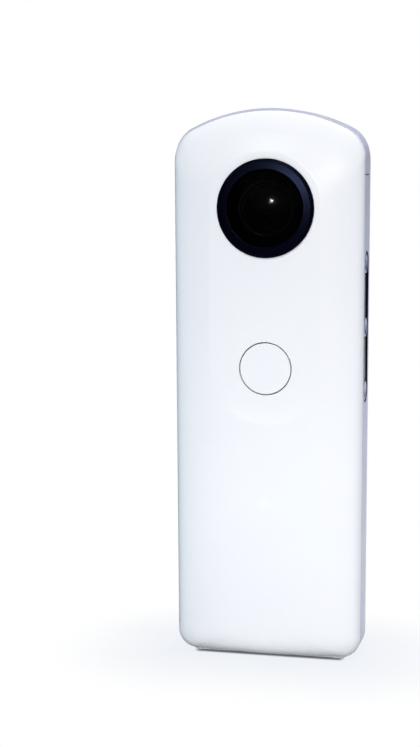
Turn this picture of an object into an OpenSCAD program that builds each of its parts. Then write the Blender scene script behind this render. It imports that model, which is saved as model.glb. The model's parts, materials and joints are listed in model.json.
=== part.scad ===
// Slim hand-held 360 degree camera with two opposed fisheye lenses.
// The origin is on the table under the middle of the body, +Z is up, the front faces -Y
// and the control keys are on the +X side. Millimetres.

/* [Body] */
// Width across the two side faces
body_w = 45.2; // [44:0.1:52]
// Height from the table to the top of the arch
body_h = 130.6; // [129:0.1:150]
// Depth over both shells at the foot, lenses not counted
body_d = 17.9; // [17.6:0.1:21]
// Amount that each face leans in between the foot and the lens axis
face_lean = 0.45; // [0:0.05:0.6]
// Amount that each side leans in between the shoulders and the foot
side_lean = 0.4; // [0:0.05:0.6]
// Radius of the arch over the top
arch_r = 40.5; // [34:0.5:60]
// Radius of the two shoulders
shoulder_r = 7.7; // [5:0.1:12]
// Radius of the two lower corners
corner_r = 4.6; // [3:0.1:5]
// Length over which the faces fall away towards the arch
top_fall = 21; // [14:0.5:24]
// Length over which the faces fall away towards the foot
foot_fall = 5.4; // [3:0.1:8]
// Rise of the lower edge of each face, from its middle to its sides
foot_bow = 2.4; // [0:0.1:3]
// Wall of the moulded shells and of the centre band
wall = 1.4; // [1.2:0.05:1.6]
// Width of the centre band between the shells
band_w = 7.3; // [7:0.1:8.4]
// Bevel on the shell rims beside the band
rim_bevel = 0.4; // [0.1:0.05:0.6]
// Distance of the arch of the shells below the arch of the top cap
crest_drop = 0.6; // [0:0.05:0.8]
// Height of the joint between side frame and top cap, above the lens axis
cap_joint_rise = 7.5; // [4:0.1:8]
// Height of the shadow groove at that joint
joint_groove = 0.35; // [0.1:0.05:0.5]
// Depth of that groove
joint_depth = 0.75; // [0.2:0.05:0.8]
// Thickness of the lip inside the band that guides the shells
lip_t = 0.8; // [0.6:0.05:1]
// Length of that lip beside the band
lip_l = 0.8; // [0.5:0.05:1]

/* [Facet] */
// Radius of the round ends of the flat facet on each face
facet_r = 13.2; // [12.4:0.1:15]
// Depth of the facet below the crown of the face at the shutter
facet_sink = 0.25; // [0.1:0.05:0.4]
// Width of the ramp that leads out of the facet at its lower end
facet_ramp = 3.5; // [1:0.1:5]

/* [Lenses] */
// Distance of the lens axis below the top of the arch
lens_drop = 23.1; // [22:0.1:26]
// Diameter of the lens ring
ring_d = 23; // [22.6:0.1:24]
// Height of the lip of the lens ring above the facet
ring_h = 1.2; // [1:0.05:1.5]
// Width of the face of the lens ring, between its rim and the glass
ring_face = 2.5; // [2.3:0.05:3]
// Height of the dome above the facet
dome_rise = 3.04; // [2.6:0.02:3.4]
// Radius of curvature of the dome
dome_r = 19; // [17:0.5:22]
// Thickness of the dome glass on the axis
dome_t = 1.2; // [0.9:0.05:1.5]
// Diameter of the hollow at the back of the dome
hollow_d = 12.4; // [11:0.1:13]
// Diameter of the second lens
second_d = 11.4; // [10:0.1:11.6]
// Length of an edge of the glass cube that the two prisms make
prism_w = 7.2; // [6.6:0.1:7.4]
// Diameter of the imaging lenses
imaging_d = 6.4; // [5.6:0.1:6.6]
// Length of each imaging barrel
imaging_l = 7.2; // [6.4:0.1:7.6]
// Width of each square sensor board
sensor_board_w = 11; // [10:0.1:11.4]

/* [Controls] */
// Distance of the shutter button below the lens axis
shutter_drop = 37.4; // [33:0.1:40]
// Diameter of the shutter button
shutter_d = 12; // [11:0.1:13]
// Gap round the shutter button
shutter_gap = 0.28; // [0.2:0.02:0.4]
// Travel of the shutter button
shutter_travel = 0.4; // [0.2:0.05:0.45]
// Distance of the power key below the lens axis
power_drop = 12.9; // [11:0.1:14]
// Distance between neighbouring side keys
key_pitch = 15; // [13:0.1:16]
// Diameter of the side keys
key_d = 4.7; // [4:0.1:4.8]
// Gap round the side keys
key_gap = 0.25; // [0.2:0.01:0.3]
// Travel of the side keys
key_travel = 0.3; // [0.2:0.05:0.35]
// Width of the dark control strip
strip_w = 6; // [5.7:0.1:6.2]
// Depth of the control strip in the side frame
strip_t = 0.7; // [0.6:0.05:0.8]
// Depth of the floor of the control strip below the side face
strip_sink = 0.25; // [0.1:0.05:0.3]
// Width of the rim round that floor
strip_rim = 0.2; // [0.15:0.05:0.4]

/* [Base] */
// Height of the underside of the body above the table
foot_z = 0.6; // [0.5:0.05:1]
// Thickness of the bottom of the side frame
base_wall = 2.6; // [2.4:0.1:3.4]
// Length of the base plate
plate_w = 38; // [33.2:0.1:39]
// Depth of the base plate
plate_d = 9; // [8.8:0.1:10]
// Thickness of the base plate
plate_t = 1.2; // [1.1:0.05:1.5]
// Height of the four feet below the base plate
foot_h = 0.4; // [0.3:0.05:0.45]
// Radius of the tripod thread at its minor diameter
thread_r = 2.56; // [2.5:0.02:2.7]
// Usable length of the tripod thread
thread_l = 6.4; // [5:0.1:7]
// Place of the charging socket from the middle
socket_x = -9.65; // [-10.2:0.05:-9.3]

/* [Inside] */
// Thickness of the chassis plate
chassis_t = 0.8; // [0.6:0.1:1]
// Thickness of the circuit boards
board_t = 0.8; // [0.6:0.1:1]
// Gap between the main board and the side key board
board_side_gap = 0.5; // [0.3:0.1:1]
// Gap between the battery and the side key board
battery_side_gap = 1.1; // [0.5:0.1:3]
// Height of the battery
battery_h = 56; // [40:1:58]
// Thickness of the battery
battery_t = 5.4; // [4:0.1:5.5]

/* [Hidden] */
$fn = 64;
dome_fn = 96;
imaging_fn = 200;

// Colours
shell_white = [0.93, 0.95, 0.97];
band_grey = [0.66, 0.67, 0.72];
ink_black = [0.06, 0.06, 0.08];
key_silver = [0.72, 0.73, 0.76];
glass_blue = [0.25, 0.30, 0.38, 0.6];
metal_grey = [0.60, 0.60, 0.62];
board_green = [0.10, 0.30, 0.22];
cable_amber = [0.75, 0.50, 0.20];
brass = [0.75, 0.62, 0.35];
lamp_blue = [0.5, 0.7, 1];
lamp_white = [0.9, 0.95, 1];
seal_grey = [0.2, 0.2, 0.2];
sensor_blue = [0.2, 0.25, 0.35];
cell_grey = [0.25, 0.27, 0.32];

// Clearances
fit = 0.05;       // glass and pins in their seats
slip = 0.1;       // moulded pieces that drop into each other
press_gap = 0.3;  // running gap in front of and behind a key
bite = 0.5;       // depth by which a boss is rooted in the wall that carries it
past = 1;         // overshoot of a cutting tool

// Faces and heights that the pieces share
half_w = body_w / 2;
half_d = body_d / 2;
seam_y = band_w / 2;
lens_z = body_h - lens_drop;
shutter_z = lens_z - shutter_drop;
key_zs = [for (i = [0:2]) lens_z - power_drop - key_pitch * i];
facet_y = face_y(shutter_z) - facet_sink;
glass_d = ring_d - 2 * ring_face;
shell_top = body_h - crest_drop;
shoulder_z = body_h - arch_r + sqrt(pow(arch_r - shoulder_r, 2) - pow(half_w - shoulder_r, 2));
cap_joint_z = lens_z + cap_joint_rise;
inner_floor = foot_z + base_wall;
plate_low = foot_h;
plate_seat = plate_low + plate_t;

// Charging socket, main board and tripod bush, which their neighbours are set against
socket_w = 7.5;
socket_h = 2.7;
board_rear_y = -socket_h / 2;
board_front_y = board_rear_y - board_t;
bush_nose_r = 3.5;
bush_flange_r = 5.2;
bush_flange_t = 1.2;
bush_body_r = 4;
bush_cap = 1.1;
key_board_margin = 5;
key_board_low = key_zs[2] - key_board_margin;

// Roundness of the body: exponents of the falling curves, and points along each stretch
side_power = 2.8;
top_power = 1.85;
foot_power = 2.6;
crown_angle = 80;
outer_rings = 10;
inner_rings = 6;
sole_n = 4;
corner_n = 7;
shoulder_n = 8;
arch_n = 12;
pill_n = 20;

// Half depth of the body's crown at height z
function face_y(z) = half_d - face_lean * (z - foot_z) / (lens_z - foot_z);

// Factor on the width at height z, from the lean of the sides
function waist(z) = 1 - side_lean / half_w * max(0, 1 - z / shoulder_z);

// Half width over the side faces, and inside the lip of the side frame, at height z
function side_x(z) = half_w * waist(z);
function frame_x(z) = (half_w - wall - lip_t) * waist(z);

// Share of a fall length that is used up when the face has risen by the share b
function fall(b, power) = 1 - pow(1 - pow(b, power), 1 / power);

// Depth of the shell's inner face at the half width x and height z
function inner_y(x, z) =
    let (share = x / ((half_w - wall) * waist(z)))
    seam_y + (face_y(z) - wall - seam_y) * pow(1 - pow(share, side_power), 1 / side_power);

function turned(list) = [for (i = [len(list) - 1:-1:0]) list[i]];

// Outline of the body, half as wide as w, between the heights foot and top; bow lifts the ends of its sole
function outline(w, top, foot, bow = 0) =
    let (
        k = w / half_w,
        ra = arch_r * k,
        rs = shoulder_r * k,
        rc = corner_r * k,
        za = top - ra,
        zs = za + sqrt(pow(ra - rs, 2) - pow(w - rs, 2)),
        a0 = atan2(zs - za, w - rs),
        sole = [for (i = [1:sole_n])
            let (x = (w - rc) * i / sole_n) [x, foot + bow * pow(x / w, 2)]],
        corner_z = sole[sole_n - 1].y + rc,
        corner = [for (i = [1:corner_n])
            let (a = 90 * i / corner_n - 90) [w - rc + rc * cos(a), corner_z + rc * sin(a)]],
        shoulder = [for (i = [0:shoulder_n])
            let (a = a0 * i / shoulder_n) [w - rs + rs * cos(a), zs + rs * sin(a)]],
        arch = [for (i = [1:arch_n - 1])
            let (a = a0 + (90 - a0) * i / arch_n) [ra * cos(a), za + ra * sin(a)]],
        right = concat(sole, corner, shoulder, arch),
        left = [for (p = turned(right)) [-p.x, p.y]]
    )
    [for (p = concat([[0, foot]], right, [[0, top]], left)) [p.x * waist(p.y), p.y]];

// Pill outline with round ends of radius r about the heights low and high
function pill(r, low, high) = concat(
    [for (i = [0:pill_n]) let (a = 180 * i / pill_n) [r * cos(a), high + r * sin(a)]],
    [for (i = [0:pill_n]) let (a = 180 + 180 * i / pill_n) [r * cos(a), low + r * sin(a)]]
);

// Rectangle with round corners, about the origin
corner_steps = 6;
function round_box(w, d, r) = [
    for (q = [0:3], i = [0:corner_steps])
        let (
            a = 90 * (q + i / corner_steps),
            sx = (q == 0 || q == 3) ? 1 : -1,
            sy = q < 2 ? 1 : -1
        )
        [sx * (w / 2 - r) + r * cos(a), sy * (d / 2 - r) + r * sin(a)]
];

// One ring of the body's skin, at the share b of the rise from y0 to the face
function skin_ring(inset, y0, b) = [
    for (p = outline(
        (half_w - inset) * (1 - fall(b, side_power)),
        shell_top - inset - top_fall * fall(b, top_power),
        foot_z + inset + foot_fall * fall(b, foot_power),
        foot_bow * b))
        [p.x, y0 + (face_y(p.y) - inset - y0) * b, p.y]
];

function rise(i, n) = sin(crown_angle * i / n);

function flat_ring(points, y) = [for (p = points) [p.x, y, p.y]];

// Solid through closed rings with equally many points, each ring further along the skin
module loft(rings) {
    n = len(rings[0]);
    m = len(rings);
    walls = [for (k = [0:m - 2], i = [0:n - 1])
        let (j = (i + 1) % n)
        each [
            [k * n + i, k * n + j, (k + 1) * n + j],
            [k * n + i, (k + 1) * n + j, (k + 1) * n + i]
        ]];
    start = [for (i = [n - 1:-1:0]) i];
    end = [for (i = [0:n - 1]) (m - 1) * n + i];
    polyhedron([for (ring = rings) each ring], concat([start], walls, [end]));
}

// Places along the axes of the lenses, of the shutter and of the side keys: +Z points outwards
module on_front(z) {
    translate([0, -facet_y, z]) rotate([90, 0, 0]) children();
}

module on_rear(z) {
    mirror([0, 1, 0]) on_front(z) children();
}

module on_side(z) {
    translate([side_x(z), 0, z]) rotate([0, 90, 0]) children();
}

// Rod of radius r between two heights
module rod(r, low, high) {
    translate([0, 0, low]) cylinder(r = r, h = high - low);
}

// Tube between two heights
module tube(outer, inner, low, high) {
    difference() {
        rod(outer, low, high);
        rod(inner, low - past, high + past);
    }
}

// Block from one corner to the opposite one
module block(low, high) {
    translate(low) cube(high - low);
}

// Prism along Y of an outline in X and Z
module slab(points, y_low, y_high) {
    translate([0, y_high, 0]) rotate([90, 0, 0]) linear_extrude(y_high - y_low) polygon(points);
}

// Shells: one lofted skin with its cavity, the flat facet and the bores
facet_bevel = 2.5;
facet_step = 0.01;
ring_r = ring_d / 2;
lens_flange = 0.5;
lens_r = glass_d / 2 + lens_flange;
spigot_wall = 0.75;
spigot_r = lens_r + fit + spigot_wall;
facet_in = facet_y - wall;

module shell_skin() {
    inner = [for (i = [0:inner_rings]) skin_ring(wall, seam_y, rise(i, inner_rings))];
    rim = [flat_ring(outline(half_w - rim_bevel, shell_top - rim_bevel, foot_z + rim_bevel), seam_y)];
    outer = [for (i = [0:outer_rings]) skin_ring(0, seam_y + rim_bevel, rise(i, outer_rings))];
    loft(concat(turned(inner), rim, outer));
}

module facet_pad() {
    loft([
        flat_ring(pill(facet_r + facet_bevel * wall, shutter_z, lens_z), facet_in),
        flat_ring(pill(facet_r, shutter_z, lens_z), facet_y - facet_step)
    ]);
}

module facet_cut() {
    slope = facet_ramp / facet_sink;
    loft([
        flat_ring(pill(facet_r - facet_ramp, shutter_z, lens_z), facet_y),
        flat_ring(pill(facet_r - facet_ramp + slope * past, shutter_z, lens_z), facet_y + past)
    ]);
}

module base_recess() {
    translate([0, 0, foot_z - past])
        linear_extrude(past + plate_seat - foot_z)
            polygon(round_box(plate_w + 2 * slip, plate_d + 2 * slip, plate_corner + slip));
}

// Half of the body towards +Y
module half_shell() {
    difference() {
        union() {
            shell_skin();
            facet_pad();
        }
        facet_cut();
        mirror([0, 1, 0]) on_front(lens_z) rod(spigot_r + slip, seam_y - facet_y, past);
        base_recess();
    }
}

// Screw bosses of the front shell, which carry the chassis
boss_r = 1.8;
boss_rise = 13;
boss_drop = 8.4;
boss_zs = [inner_floor + boss_rise, key_board_low - boss_drop];
chassis_screw_r = 0.7;
boss_places = [for (side = [-1, 1], z = boss_zs) [side * (frame_x(z) - boss_r - bite), z]];

module chassis_boss(place) {
    root = inner_y(abs(place.x), place.y) + bite;
    difference() {
        translate([place.x, 0, place.y]) rotate([90, 0, 0]) cylinder(r = boss_r, h = root);
        translate([place.x, past, place.y]) rotate([90, 0, 0])
            cylinder(r = chassis_screw_r + fit, h = chassis_screw_l + past);
    }
}

module front_shell() color(shell_white) {
    difference() {
        mirror([0, 1, 0]) half_shell();
        on_front(shutter_z) rod(shutter_d / 2 + shutter_gap, -wall - past, past);
    }
    for (place = boss_places) chassis_boss(place);
}

// Clips of the rear shell, which reach inside the lip of the side frame
clip_w = 4;
clip_t = 1.2;
clip_y = 2.4;
clip_zs = [(boss_zs[0] + boss_zs[1]) / 2, (key_zs[0] + key_zs[1]) / 2];

module rear_clip(side, z) {
    x_out = frame_x(z - clip_w / 2) - slip;
    x_in = x_out - clip_t;
    block([min(side * x_out, side * x_in), clip_y, z - clip_w / 2],
        [max(side * x_out, side * x_in), inner_y(x_in, z) + bite, z + clip_w / 2]);
}

module rear_shell() color(shell_white) {
    half_shell();
    for (side = [-1, 1], z = clip_zs) rear_clip(side, z);
}

// Centre band: side frame below the joint, top cap above it
module band_ring(y_half, outer_inset, inner_inset, floor_z, bow = 0) {
    difference() {
        slab(outline(half_w - outer_inset, body_h - outer_inset, foot_z + outer_inset, bow),
            -y_half, y_half);
        slab(outline(half_w - inner_inset, body_h - inner_inset, floor_z),
            -y_half - past, y_half + past);
    }
}

module below(z) {
    intersection() {
        children();
        block([-body_w, -body_d, -past], [body_w, body_d, z]);
    }
}

module above(z) {
    intersection() {
        children();
        block([-body_w, -body_d, z], [body_w, body_d, body_h + past]);
    }
}

strip_r = strip_w / 2;
key_r = key_d / 2;
lip_top = key_zs[0] + strip_r;
lip_share = lip_l / (face_y(lens_z) - wall - seam_y);
lip_inset = wall + slip + half_w * fall(lip_share, side_power);

// Prism along X of the control strip's pill outline
module strip_prism(r, x_low, x_high) {
    translate([x_low, 0, 0]) rotate([90, 0, 90])
        linear_extrude(x_high - x_low) polygon(pill(r, key_zs[2], key_zs[0]));
}

module key_holes() {
    for (z = key_zs) on_side(z) rod(key_r + key_gap, -wall - lip_t - past, past);
}

module side_frame() color(band_grey) difference() {
    below(cap_joint_z) union() {
        band_ring(seam_y, 0, wall, inner_floor);
        below(lip_top) band_ring(seam_y, wall - fit, wall + lip_t, inner_floor);
        below(lip_top) band_ring(seam_y + lip_l, lip_inset, wall + lip_t, inner_floor, foot_bow * lip_share);
    }
    strip_prism(strip_r, half_w - strip_t, half_w + past);
    key_holes();
    base_recess();
    rod(bush_nose_r + slip, -past, inner_floor + past);
    for (x = base_screw_xs) translate([x, 0, 0]) rod(base_screw_r + fit, -past, inner_floor + past);
    socket_opening(slip);
    sound_slots();
}

// Microphone hole and its pad under the arch
mic_hole_r = 0.5;
mic_pad_w = 6;
mic_pad_d = 4.4;
mic_pad_h = 1;
mic_pad_z = body_h - wall - mic_pad_h;

module top_cap() color(band_grey) difference() {
    above(cap_joint_z) union() {
        band_ring(seam_y, 0, wall, inner_floor);
        block([-mic_pad_w / 2, -mic_pad_d / 2, mic_pad_z],
            [mic_pad_w / 2, mic_pad_d / 2, body_h - wall / 2]);
    }
    below(cap_joint_z + joint_groove) band_ring(seam_y + past, -past, joint_depth, inner_floor);
    rod(mic_hole_r, mic_pad_z - past, body_h + past);
}

// Base plate with feet, screw seats, socket opening and sound slots
plate_corner = 2.4;
pad_w = 2.6;
pad_d = 1.4;
pad_r = 0.45;
pad_inset = 0.9;
base_screw_r = 0.75;
base_screw_head_r = 1.25;
base_screw_head_h = 0.7;
base_screw_inset = 2.1;
base_screw_xs = [base_screw_inset - plate_w / 2, plate_w / 2 - base_screw_inset];
slot_w = 0.8;
slot_l = 4;
slot_pitch = 1.7;
slot_n = 4;

module sound_slots() {
    for (i = [0:slot_n - 1]) {
        x = speaker_x + slot_pitch * (i - (slot_n - 1) / 2);
        block([x - slot_w / 2, -slot_l / 2, -past], [x + slot_w / 2, slot_l / 2, inner_floor + past]);
    }
}

module base_plate() color(shell_white) {
    difference() {
        translate([0, 0, plate_low]) linear_extrude(plate_t)
            polygon(round_box(plate_w, plate_d, plate_corner));
        rod(bush_nose_r + slip, -past, plate_seat + past);
        for (x = base_screw_xs) translate([x, 0, plate_low]) {
            rod(base_screw_head_r + slip, -past, base_screw_head_h);
            rod(base_screw_r + slip, -past, plate_t + past);
        }
        socket_opening(slip);
        sound_slots();
    }
    for (x = [-1, 1], y = [-1, 1])
        translate([x * (plate_w / 2 - pad_inset - pad_w / 2), y * (plate_d / 2 - pad_inset - pad_d / 2), 0])
            linear_extrude(plate_low) polygon(round_box(pad_w, pad_d, pad_r));
}

module control_strip() color(ink_black) difference() {
    intersection() {
        strip_prism(strip_r - slip, half_w - strip_t, half_w + past);
        slab(outline(half_w, body_h, foot_z), -seam_y, seam_y);
    }
    strip_prism(strip_r - slip - strip_rim, side_x(key_zs[2]) - strip_sink, half_w + past);
    key_holes();
}

// Shutter button and the plunger of its switch, measured inwards from the facet
cap_flange = 0.7;
cap_flange_rim = 0.7;
shutter_stem_r = 1.6;
switch_h = 1.5;
switch_w = 6;
plunger_r = 1;
plunger_out = 0.7;
plunger_in = 0.7;
plunger_play = 0.15;
shutter_flange_h = -wall - press_gap;
switch_face_y = board_front_y - switch_h;
plunger_tip_h = -(facet_y + switch_face_y) + plunger_out;

module shutter_button() color(shell_white) on_front(shutter_z) {
    rod(shutter_d / 2, shutter_flange_h, 0);
    rod(shutter_d / 2 + cap_flange_rim, shutter_flange_h - cap_flange, shutter_flange_h);
    rod(shutter_stem_r, plunger_tip_h, shutter_flange_h - cap_flange);
}

module shutter_plunger() color(ink_black) on_front(shutter_z)
    rod(plunger_r, plunger_tip_h - plunger_out - plunger_in, plunger_tip_h);

module shutter_switch() color(metal_grey) difference() {
    block([-switch_w / 2, switch_face_y, shutter_z - switch_w / 2],
        [switch_w / 2, board_front_y, shutter_z + switch_w / 2]);
    on_front(shutter_z) rod(plunger_r + plunger_play,
        plunger_tip_h - plunger_out - plunger_in - shutter_travel - slip, plunger_tip_h);
}

// Side keys, measured outwards from the side face
key_sink = 0.08;
key_dish_r = 6;
key_dish = 0.3;
key_flange_rim = 0.65;
key_flange_x = -wall - lip_t - press_gap;
key_flange_t = 0.7;
key_stem_r = 0.9;
key_stem_l = 0.5;
key_plunger_r = 0.7;
key_plunger_out = 0.5;
key_plunger_in = 0.7;
key_switch_h = 1.3;
key_switch_w = 3.6;
key_tip_x = side_x(key_zs[2]) + key_flange_x - key_flange_t - key_stem_l;
key_switch_x = key_tip_x - key_plunger_out;
key_board_x = key_switch_x - key_switch_h;
lamp_r = 0.6;

module key_body(z) on_side(z) difference() {
    union() {
        rod(key_r, key_flange_x, -key_sink);
        rod(key_r + key_flange_rim, key_flange_x - key_flange_t, key_flange_x);
        rod(key_stem_r, key_tip_x - side_x(z), key_flange_x - key_flange_t);
    }
    translate([0, 0, key_dish_r - key_sink - key_dish]) sphere(r = key_dish_r);
}

module at_switch(z) {
    translate([key_switch_x, 0, z]) rotate([0, 90, 0]) children();
}

module key_plunger(z) color(ink_black) at_switch(z)
    rod(key_plunger_r, -key_plunger_in, key_plunger_out);

module power_button() color(key_silver) difference() {
    key_body(key_zs[0]);
    on_side(key_zs[0]) rod(lamp_r + fit, key_flange_x, past);
}

module power_lamp() color(lamp_blue) on_side(key_zs[0])
    rod(lamp_r, key_flange_x, -key_sink - key_dish);

module power_plunger() key_plunger(key_zs[0]);
module wireless_button() color(key_silver) key_body(key_zs[1]);
module wireless_plunger() key_plunger(key_zs[1]);
module mode_button() color(key_silver) key_body(key_zs[2]);
module mode_plunger() key_plunger(key_zs[2]);

key_board_d = 6;
key_board_high = key_zs[0] + key_board_margin;

module key_board() color(board_green)
    block([key_board_x - board_t, -key_board_d / 2, key_board_low],
        [key_board_x, key_board_d / 2, key_board_high]);

module key_switches() color(metal_grey) for (z = key_zs) difference() {
    at_switch(z) translate([-key_switch_w / 2, -key_switch_w / 2, -key_switch_h])
        cube([key_switch_w, key_switch_w, key_switch_h]);
    at_switch(z) rod(key_plunger_r + plunger_play, -key_plunger_in - key_travel - slip, past);
}

// Lens ring: bevelled trim ring with a spigot through the shell and a groove for the seal
ring_rim_h = 0.35;
ring_bevel_in = 0.75;
ring_bevel_h = 0.82;
lens_seat_h = 0.5;
lens_back_h = -0.9;
seal_t = 0.3;
seal_w = 0.6;
seal_r = (spigot_r + ring_r) / 2;

module lens_ring() color(ink_black) rotate_extrude() polygon([
    [glass_d / 2 + fit, ring_h],
    [ring_r - ring_bevel_in, ring_bevel_h],
    [ring_r, ring_rim_h],
    [ring_r, 0],
    [seal_r + seal_w / 2, 0],
    [seal_r + seal_w / 2, seal_t],
    [seal_r - seal_w / 2, seal_t],
    [seal_r - seal_w / 2, 0],
    [spigot_r, 0],
    [spigot_r, -wall],
    [lens_r + fit, -wall],
    [lens_r + fit, lens_seat_h],
    [glass_d / 2 + fit, lens_seat_h]
]);

module lens_seal() color(seal_grey)
    tube(seal_r + seal_w / 2, seal_r - seal_w / 2, 0, seal_t);

// Meniscus dome with a flange that the ring holds down
hollow_top = dome_rise - dome_t;
hollow_depth = hollow_top - lens_back_h;
hollow_r = (pow(hollow_d / 2, 2) + pow(hollow_depth, 2)) / (2 * hollow_depth);

module dome_lens() color(glass_blue) difference() {
    union() {
        rod(lens_r, lens_back_h, lens_seat_h);
        intersection() {
            rod(glass_d / 2, lens_back_h, dome_rise + past);
            translate([0, 0, dome_rise - dome_r]) sphere(r = dome_r, $fn = dome_fn);
        }
    }
    translate([0, 0, hollow_top - hollow_r]) sphere(r = hollow_r);
}

// Lens barrel between the dome and the optics block
optics_y = 4.2;
barrel_back = optics_y - facet_y;
second_r = second_d / 2;
second_lip = 1.1;
second_lip_t = 0.3;
second_edge = 1.7;
second_t = 0.8;
second_low = barrel_back + second_lip_t;
second_high = second_low + second_edge;
second_hollow_r = 6.2;

module lens_barrel() color(ink_black) rotate_extrude() polygon([
    [hollow_d / 2 + fit, lens_back_h],
    [lens_r, lens_back_h],
    [lens_r, barrel_back],
    [second_r - second_lip, barrel_back],
    [second_r - second_lip, second_low],
    [second_r + fit, second_low],
    [second_r + fit, second_high],
    [hollow_d / 2 + fit, second_high + fit]
]);

module second_lens() color(glass_blue) difference() {
    rod(second_r, second_low, second_high);
    translate([0, 0, second_low + second_t + second_hollow_r]) sphere(r = second_hollow_r);
}

module front_lens_ring() on_front(lens_z) lens_ring();
module front_lens_seal() on_front(lens_z) lens_seal();
module front_dome_lens() on_front(lens_z) dome_lens();
module front_lens_barrel() on_front(lens_z) lens_barrel();
module front_second_lens() on_front(lens_z) second_lens();
module rear_lens_ring() on_rear(lens_z) lens_ring();
module rear_lens_seal() on_rear(lens_z) lens_seal();
module rear_dome_lens() on_rear(lens_z) dome_lens();
module rear_lens_barrel() on_rear(lens_z) lens_barrel();
module rear_second_lens() on_rear(lens_z) second_lens();

// Two right-angle prisms back to back turn the light of each dome to one side
prism_a = prism_w / 2;
prism_gap = 0.1;
optics_wall = 1.6;
optics_x = prism_a + optics_wall;
optics_h = 5.6;
window_rim = 0.5;
window_r = prism_a - window_rim;

module prism() color(glass_blue) translate([0, 0, lens_z - prism_a]) linear_extrude(prism_w)
    polygon([[prism_gap - prism_a, -prism_a], [prism_a, -prism_a], [prism_a, prism_a - prism_gap]]);

module front_prism() prism();
module rear_prism() rotate([0, 0, 180]) prism();

module optics_block() color(ink_black) difference() {
    block([-optics_x, -optics_y, lens_z - optics_h], [optics_x, optics_y, lens_z + optics_h]);
    block([-prism_a - fit, -optics_y - past, lens_z - prism_a - fit],
        [prism_a + fit, optics_y + past, lens_z + prism_a + fit]);
    translate([-optics_x - past, 0, lens_z]) rotate([0, 90, 0])
        cylinder(r = window_r, h = 2 * (optics_x + past));
}

// Imaging barrels to the right for the front dome and to the left for the rear one
imaging_r = imaging_d / 2;
imaging_wall = 0.75;
imaging_flange_w = 9.6;
imaging_flange_t = 0.8;
imaging_glass_t = 1.6;
imaging_glass_r = 7;
imaging_first = 0.8;
imaging_pitch = 2.8;
sensor_w = 8;
sensor_t = 0.9;
sensor_x = optics_x + imaging_l;
sensor_board_x = sensor_x + sensor_t;

module along_x(x) {
    translate([x, 0, lens_z]) rotate([0, 90, 0]) children();
}

module imaging_barrel() color(ink_black) along_x(optics_x) difference() {
    union() {
        rod(imaging_r + imaging_wall, 0, imaging_l);
        translate([-imaging_flange_w / 2, -imaging_flange_w / 2, imaging_l - imaging_flange_t])
            cube([imaging_flange_w, imaging_flange_w, imaging_flange_t]);
    }
    rod(imaging_r + fit, -past, imaging_l + past);
}

// Two biconvex elements, each the overlap of a rod and two spheres
module imaging_lenses() color(glass_blue) for (i = [0:1])
    along_x(optics_x + imaging_first + imaging_pitch * i) intersection() {
        rod(imaging_r, 0, imaging_glass_t);
        translate([0, 0, imaging_glass_r]) sphere(r = imaging_glass_r, $fn = imaging_fn);
        translate([0, 0, imaging_glass_t - imaging_glass_r]) sphere(r = imaging_glass_r, $fn = imaging_fn);
    }

module sensor() color(sensor_blue)
    block([sensor_x, -sensor_w / 2, lens_z - sensor_w / 2],
        [sensor_board_x, sensor_w / 2, lens_z + sensor_w / 2]);

module sensor_board() color(board_green)
    block([sensor_board_x, -sensor_board_w / 2, lens_z - sensor_board_w / 2],
        [sensor_board_x + board_t, sensor_board_w / 2, lens_z + sensor_board_w / 2]);

cable_t = 0.3;
cable_inset = 0.3;
cable_w = 2;
plug_h = 4;
plug_w = 2.4;
plug_drop = 7;
plug_z = lens_z - sensor_board_w / 2 - plug_drop;

// Flat cable that hangs from the sensor board, and its plug on the main board
module sensor_cable() color(cable_amber) {
    x = sensor_board_x + cable_t;
    y = cable_w - sensor_board_w / 2 + cable_inset;
    block([sensor_board_x, y - cable_w, plug_z - plug_h / 2], [x, y, lens_z - sensor_board_w / 2]);
    block([x - plug_w, y, plug_z - plug_h / 2], [x, board_front_y, plug_z + plug_h / 2]);
}

module front_imaging_barrel() imaging_barrel();
module front_imaging_lenses() imaging_lenses();
module front_sensor() sensor();
module front_sensor_board() sensor_board();
module front_sensor_cable() sensor_cable();
module rear_imaging_barrel() mirror([1, 0, 0]) imaging_barrel();
module rear_imaging_lenses() mirror([1, 0, 0]) imaging_lenses();
module rear_sensor() mirror([1, 0, 0]) sensor();
module rear_sensor_board() mirror([1, 0, 0]) sensor_board();
module rear_sensor_cable() mirror([1, 0, 0]) sensor_cable();

// Chassis plate behind the main board, with standoffs for the board
chassis_rise = 7;
chassis_low = inner_floor + chassis_rise;
chassis_top = lens_z - optics_h;
board_gap = 1;
board_top = lens_z - lens_r - board_gap;
standoff_r = 1.6;
standoff_inset = 2.6;
standoff_low = 4;
standoff_drop = 8;
board_w = 2 * (key_board_x - board_t - board_side_gap);
battery_w = 2 * (key_board_x - board_t - battery_side_gap);
standoff_x = board_w / 2 - standoff_inset;
standoff_zs = [chassis_low + standoff_low, board_top - standoff_drop];
board_screw_r = 0.6;
board_screw_head_r = 1.2;
board_screw_head_h = 0.7;
chassis_screw_l = 4;
chassis_screw_head_r = 1.3;
chassis_screw_head_h = 0.7;
standoffs = [for (x = [-standoff_x, standoff_x], z = standoff_zs) [x, z]];
lead_w = 6;
lead_t = 0.4;
lead_rise = 3;
battery_corner = 1.5;
battery_rise = 8;
battery_low = chassis_low + battery_rise;
battery_top = battery_low + battery_h;
lead_z = battery_top + lead_rise;
key_notch_low = key_board_low - board_gap;

// Rod along Y at a place in X and Z, from one depth to another
module rod_y(place, r, y_low, y_high) {
    translate([place.x, y_high, place.y]) rotate([90, 0, 0]) cylinder(r = r, h = y_high - y_low);
}

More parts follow.
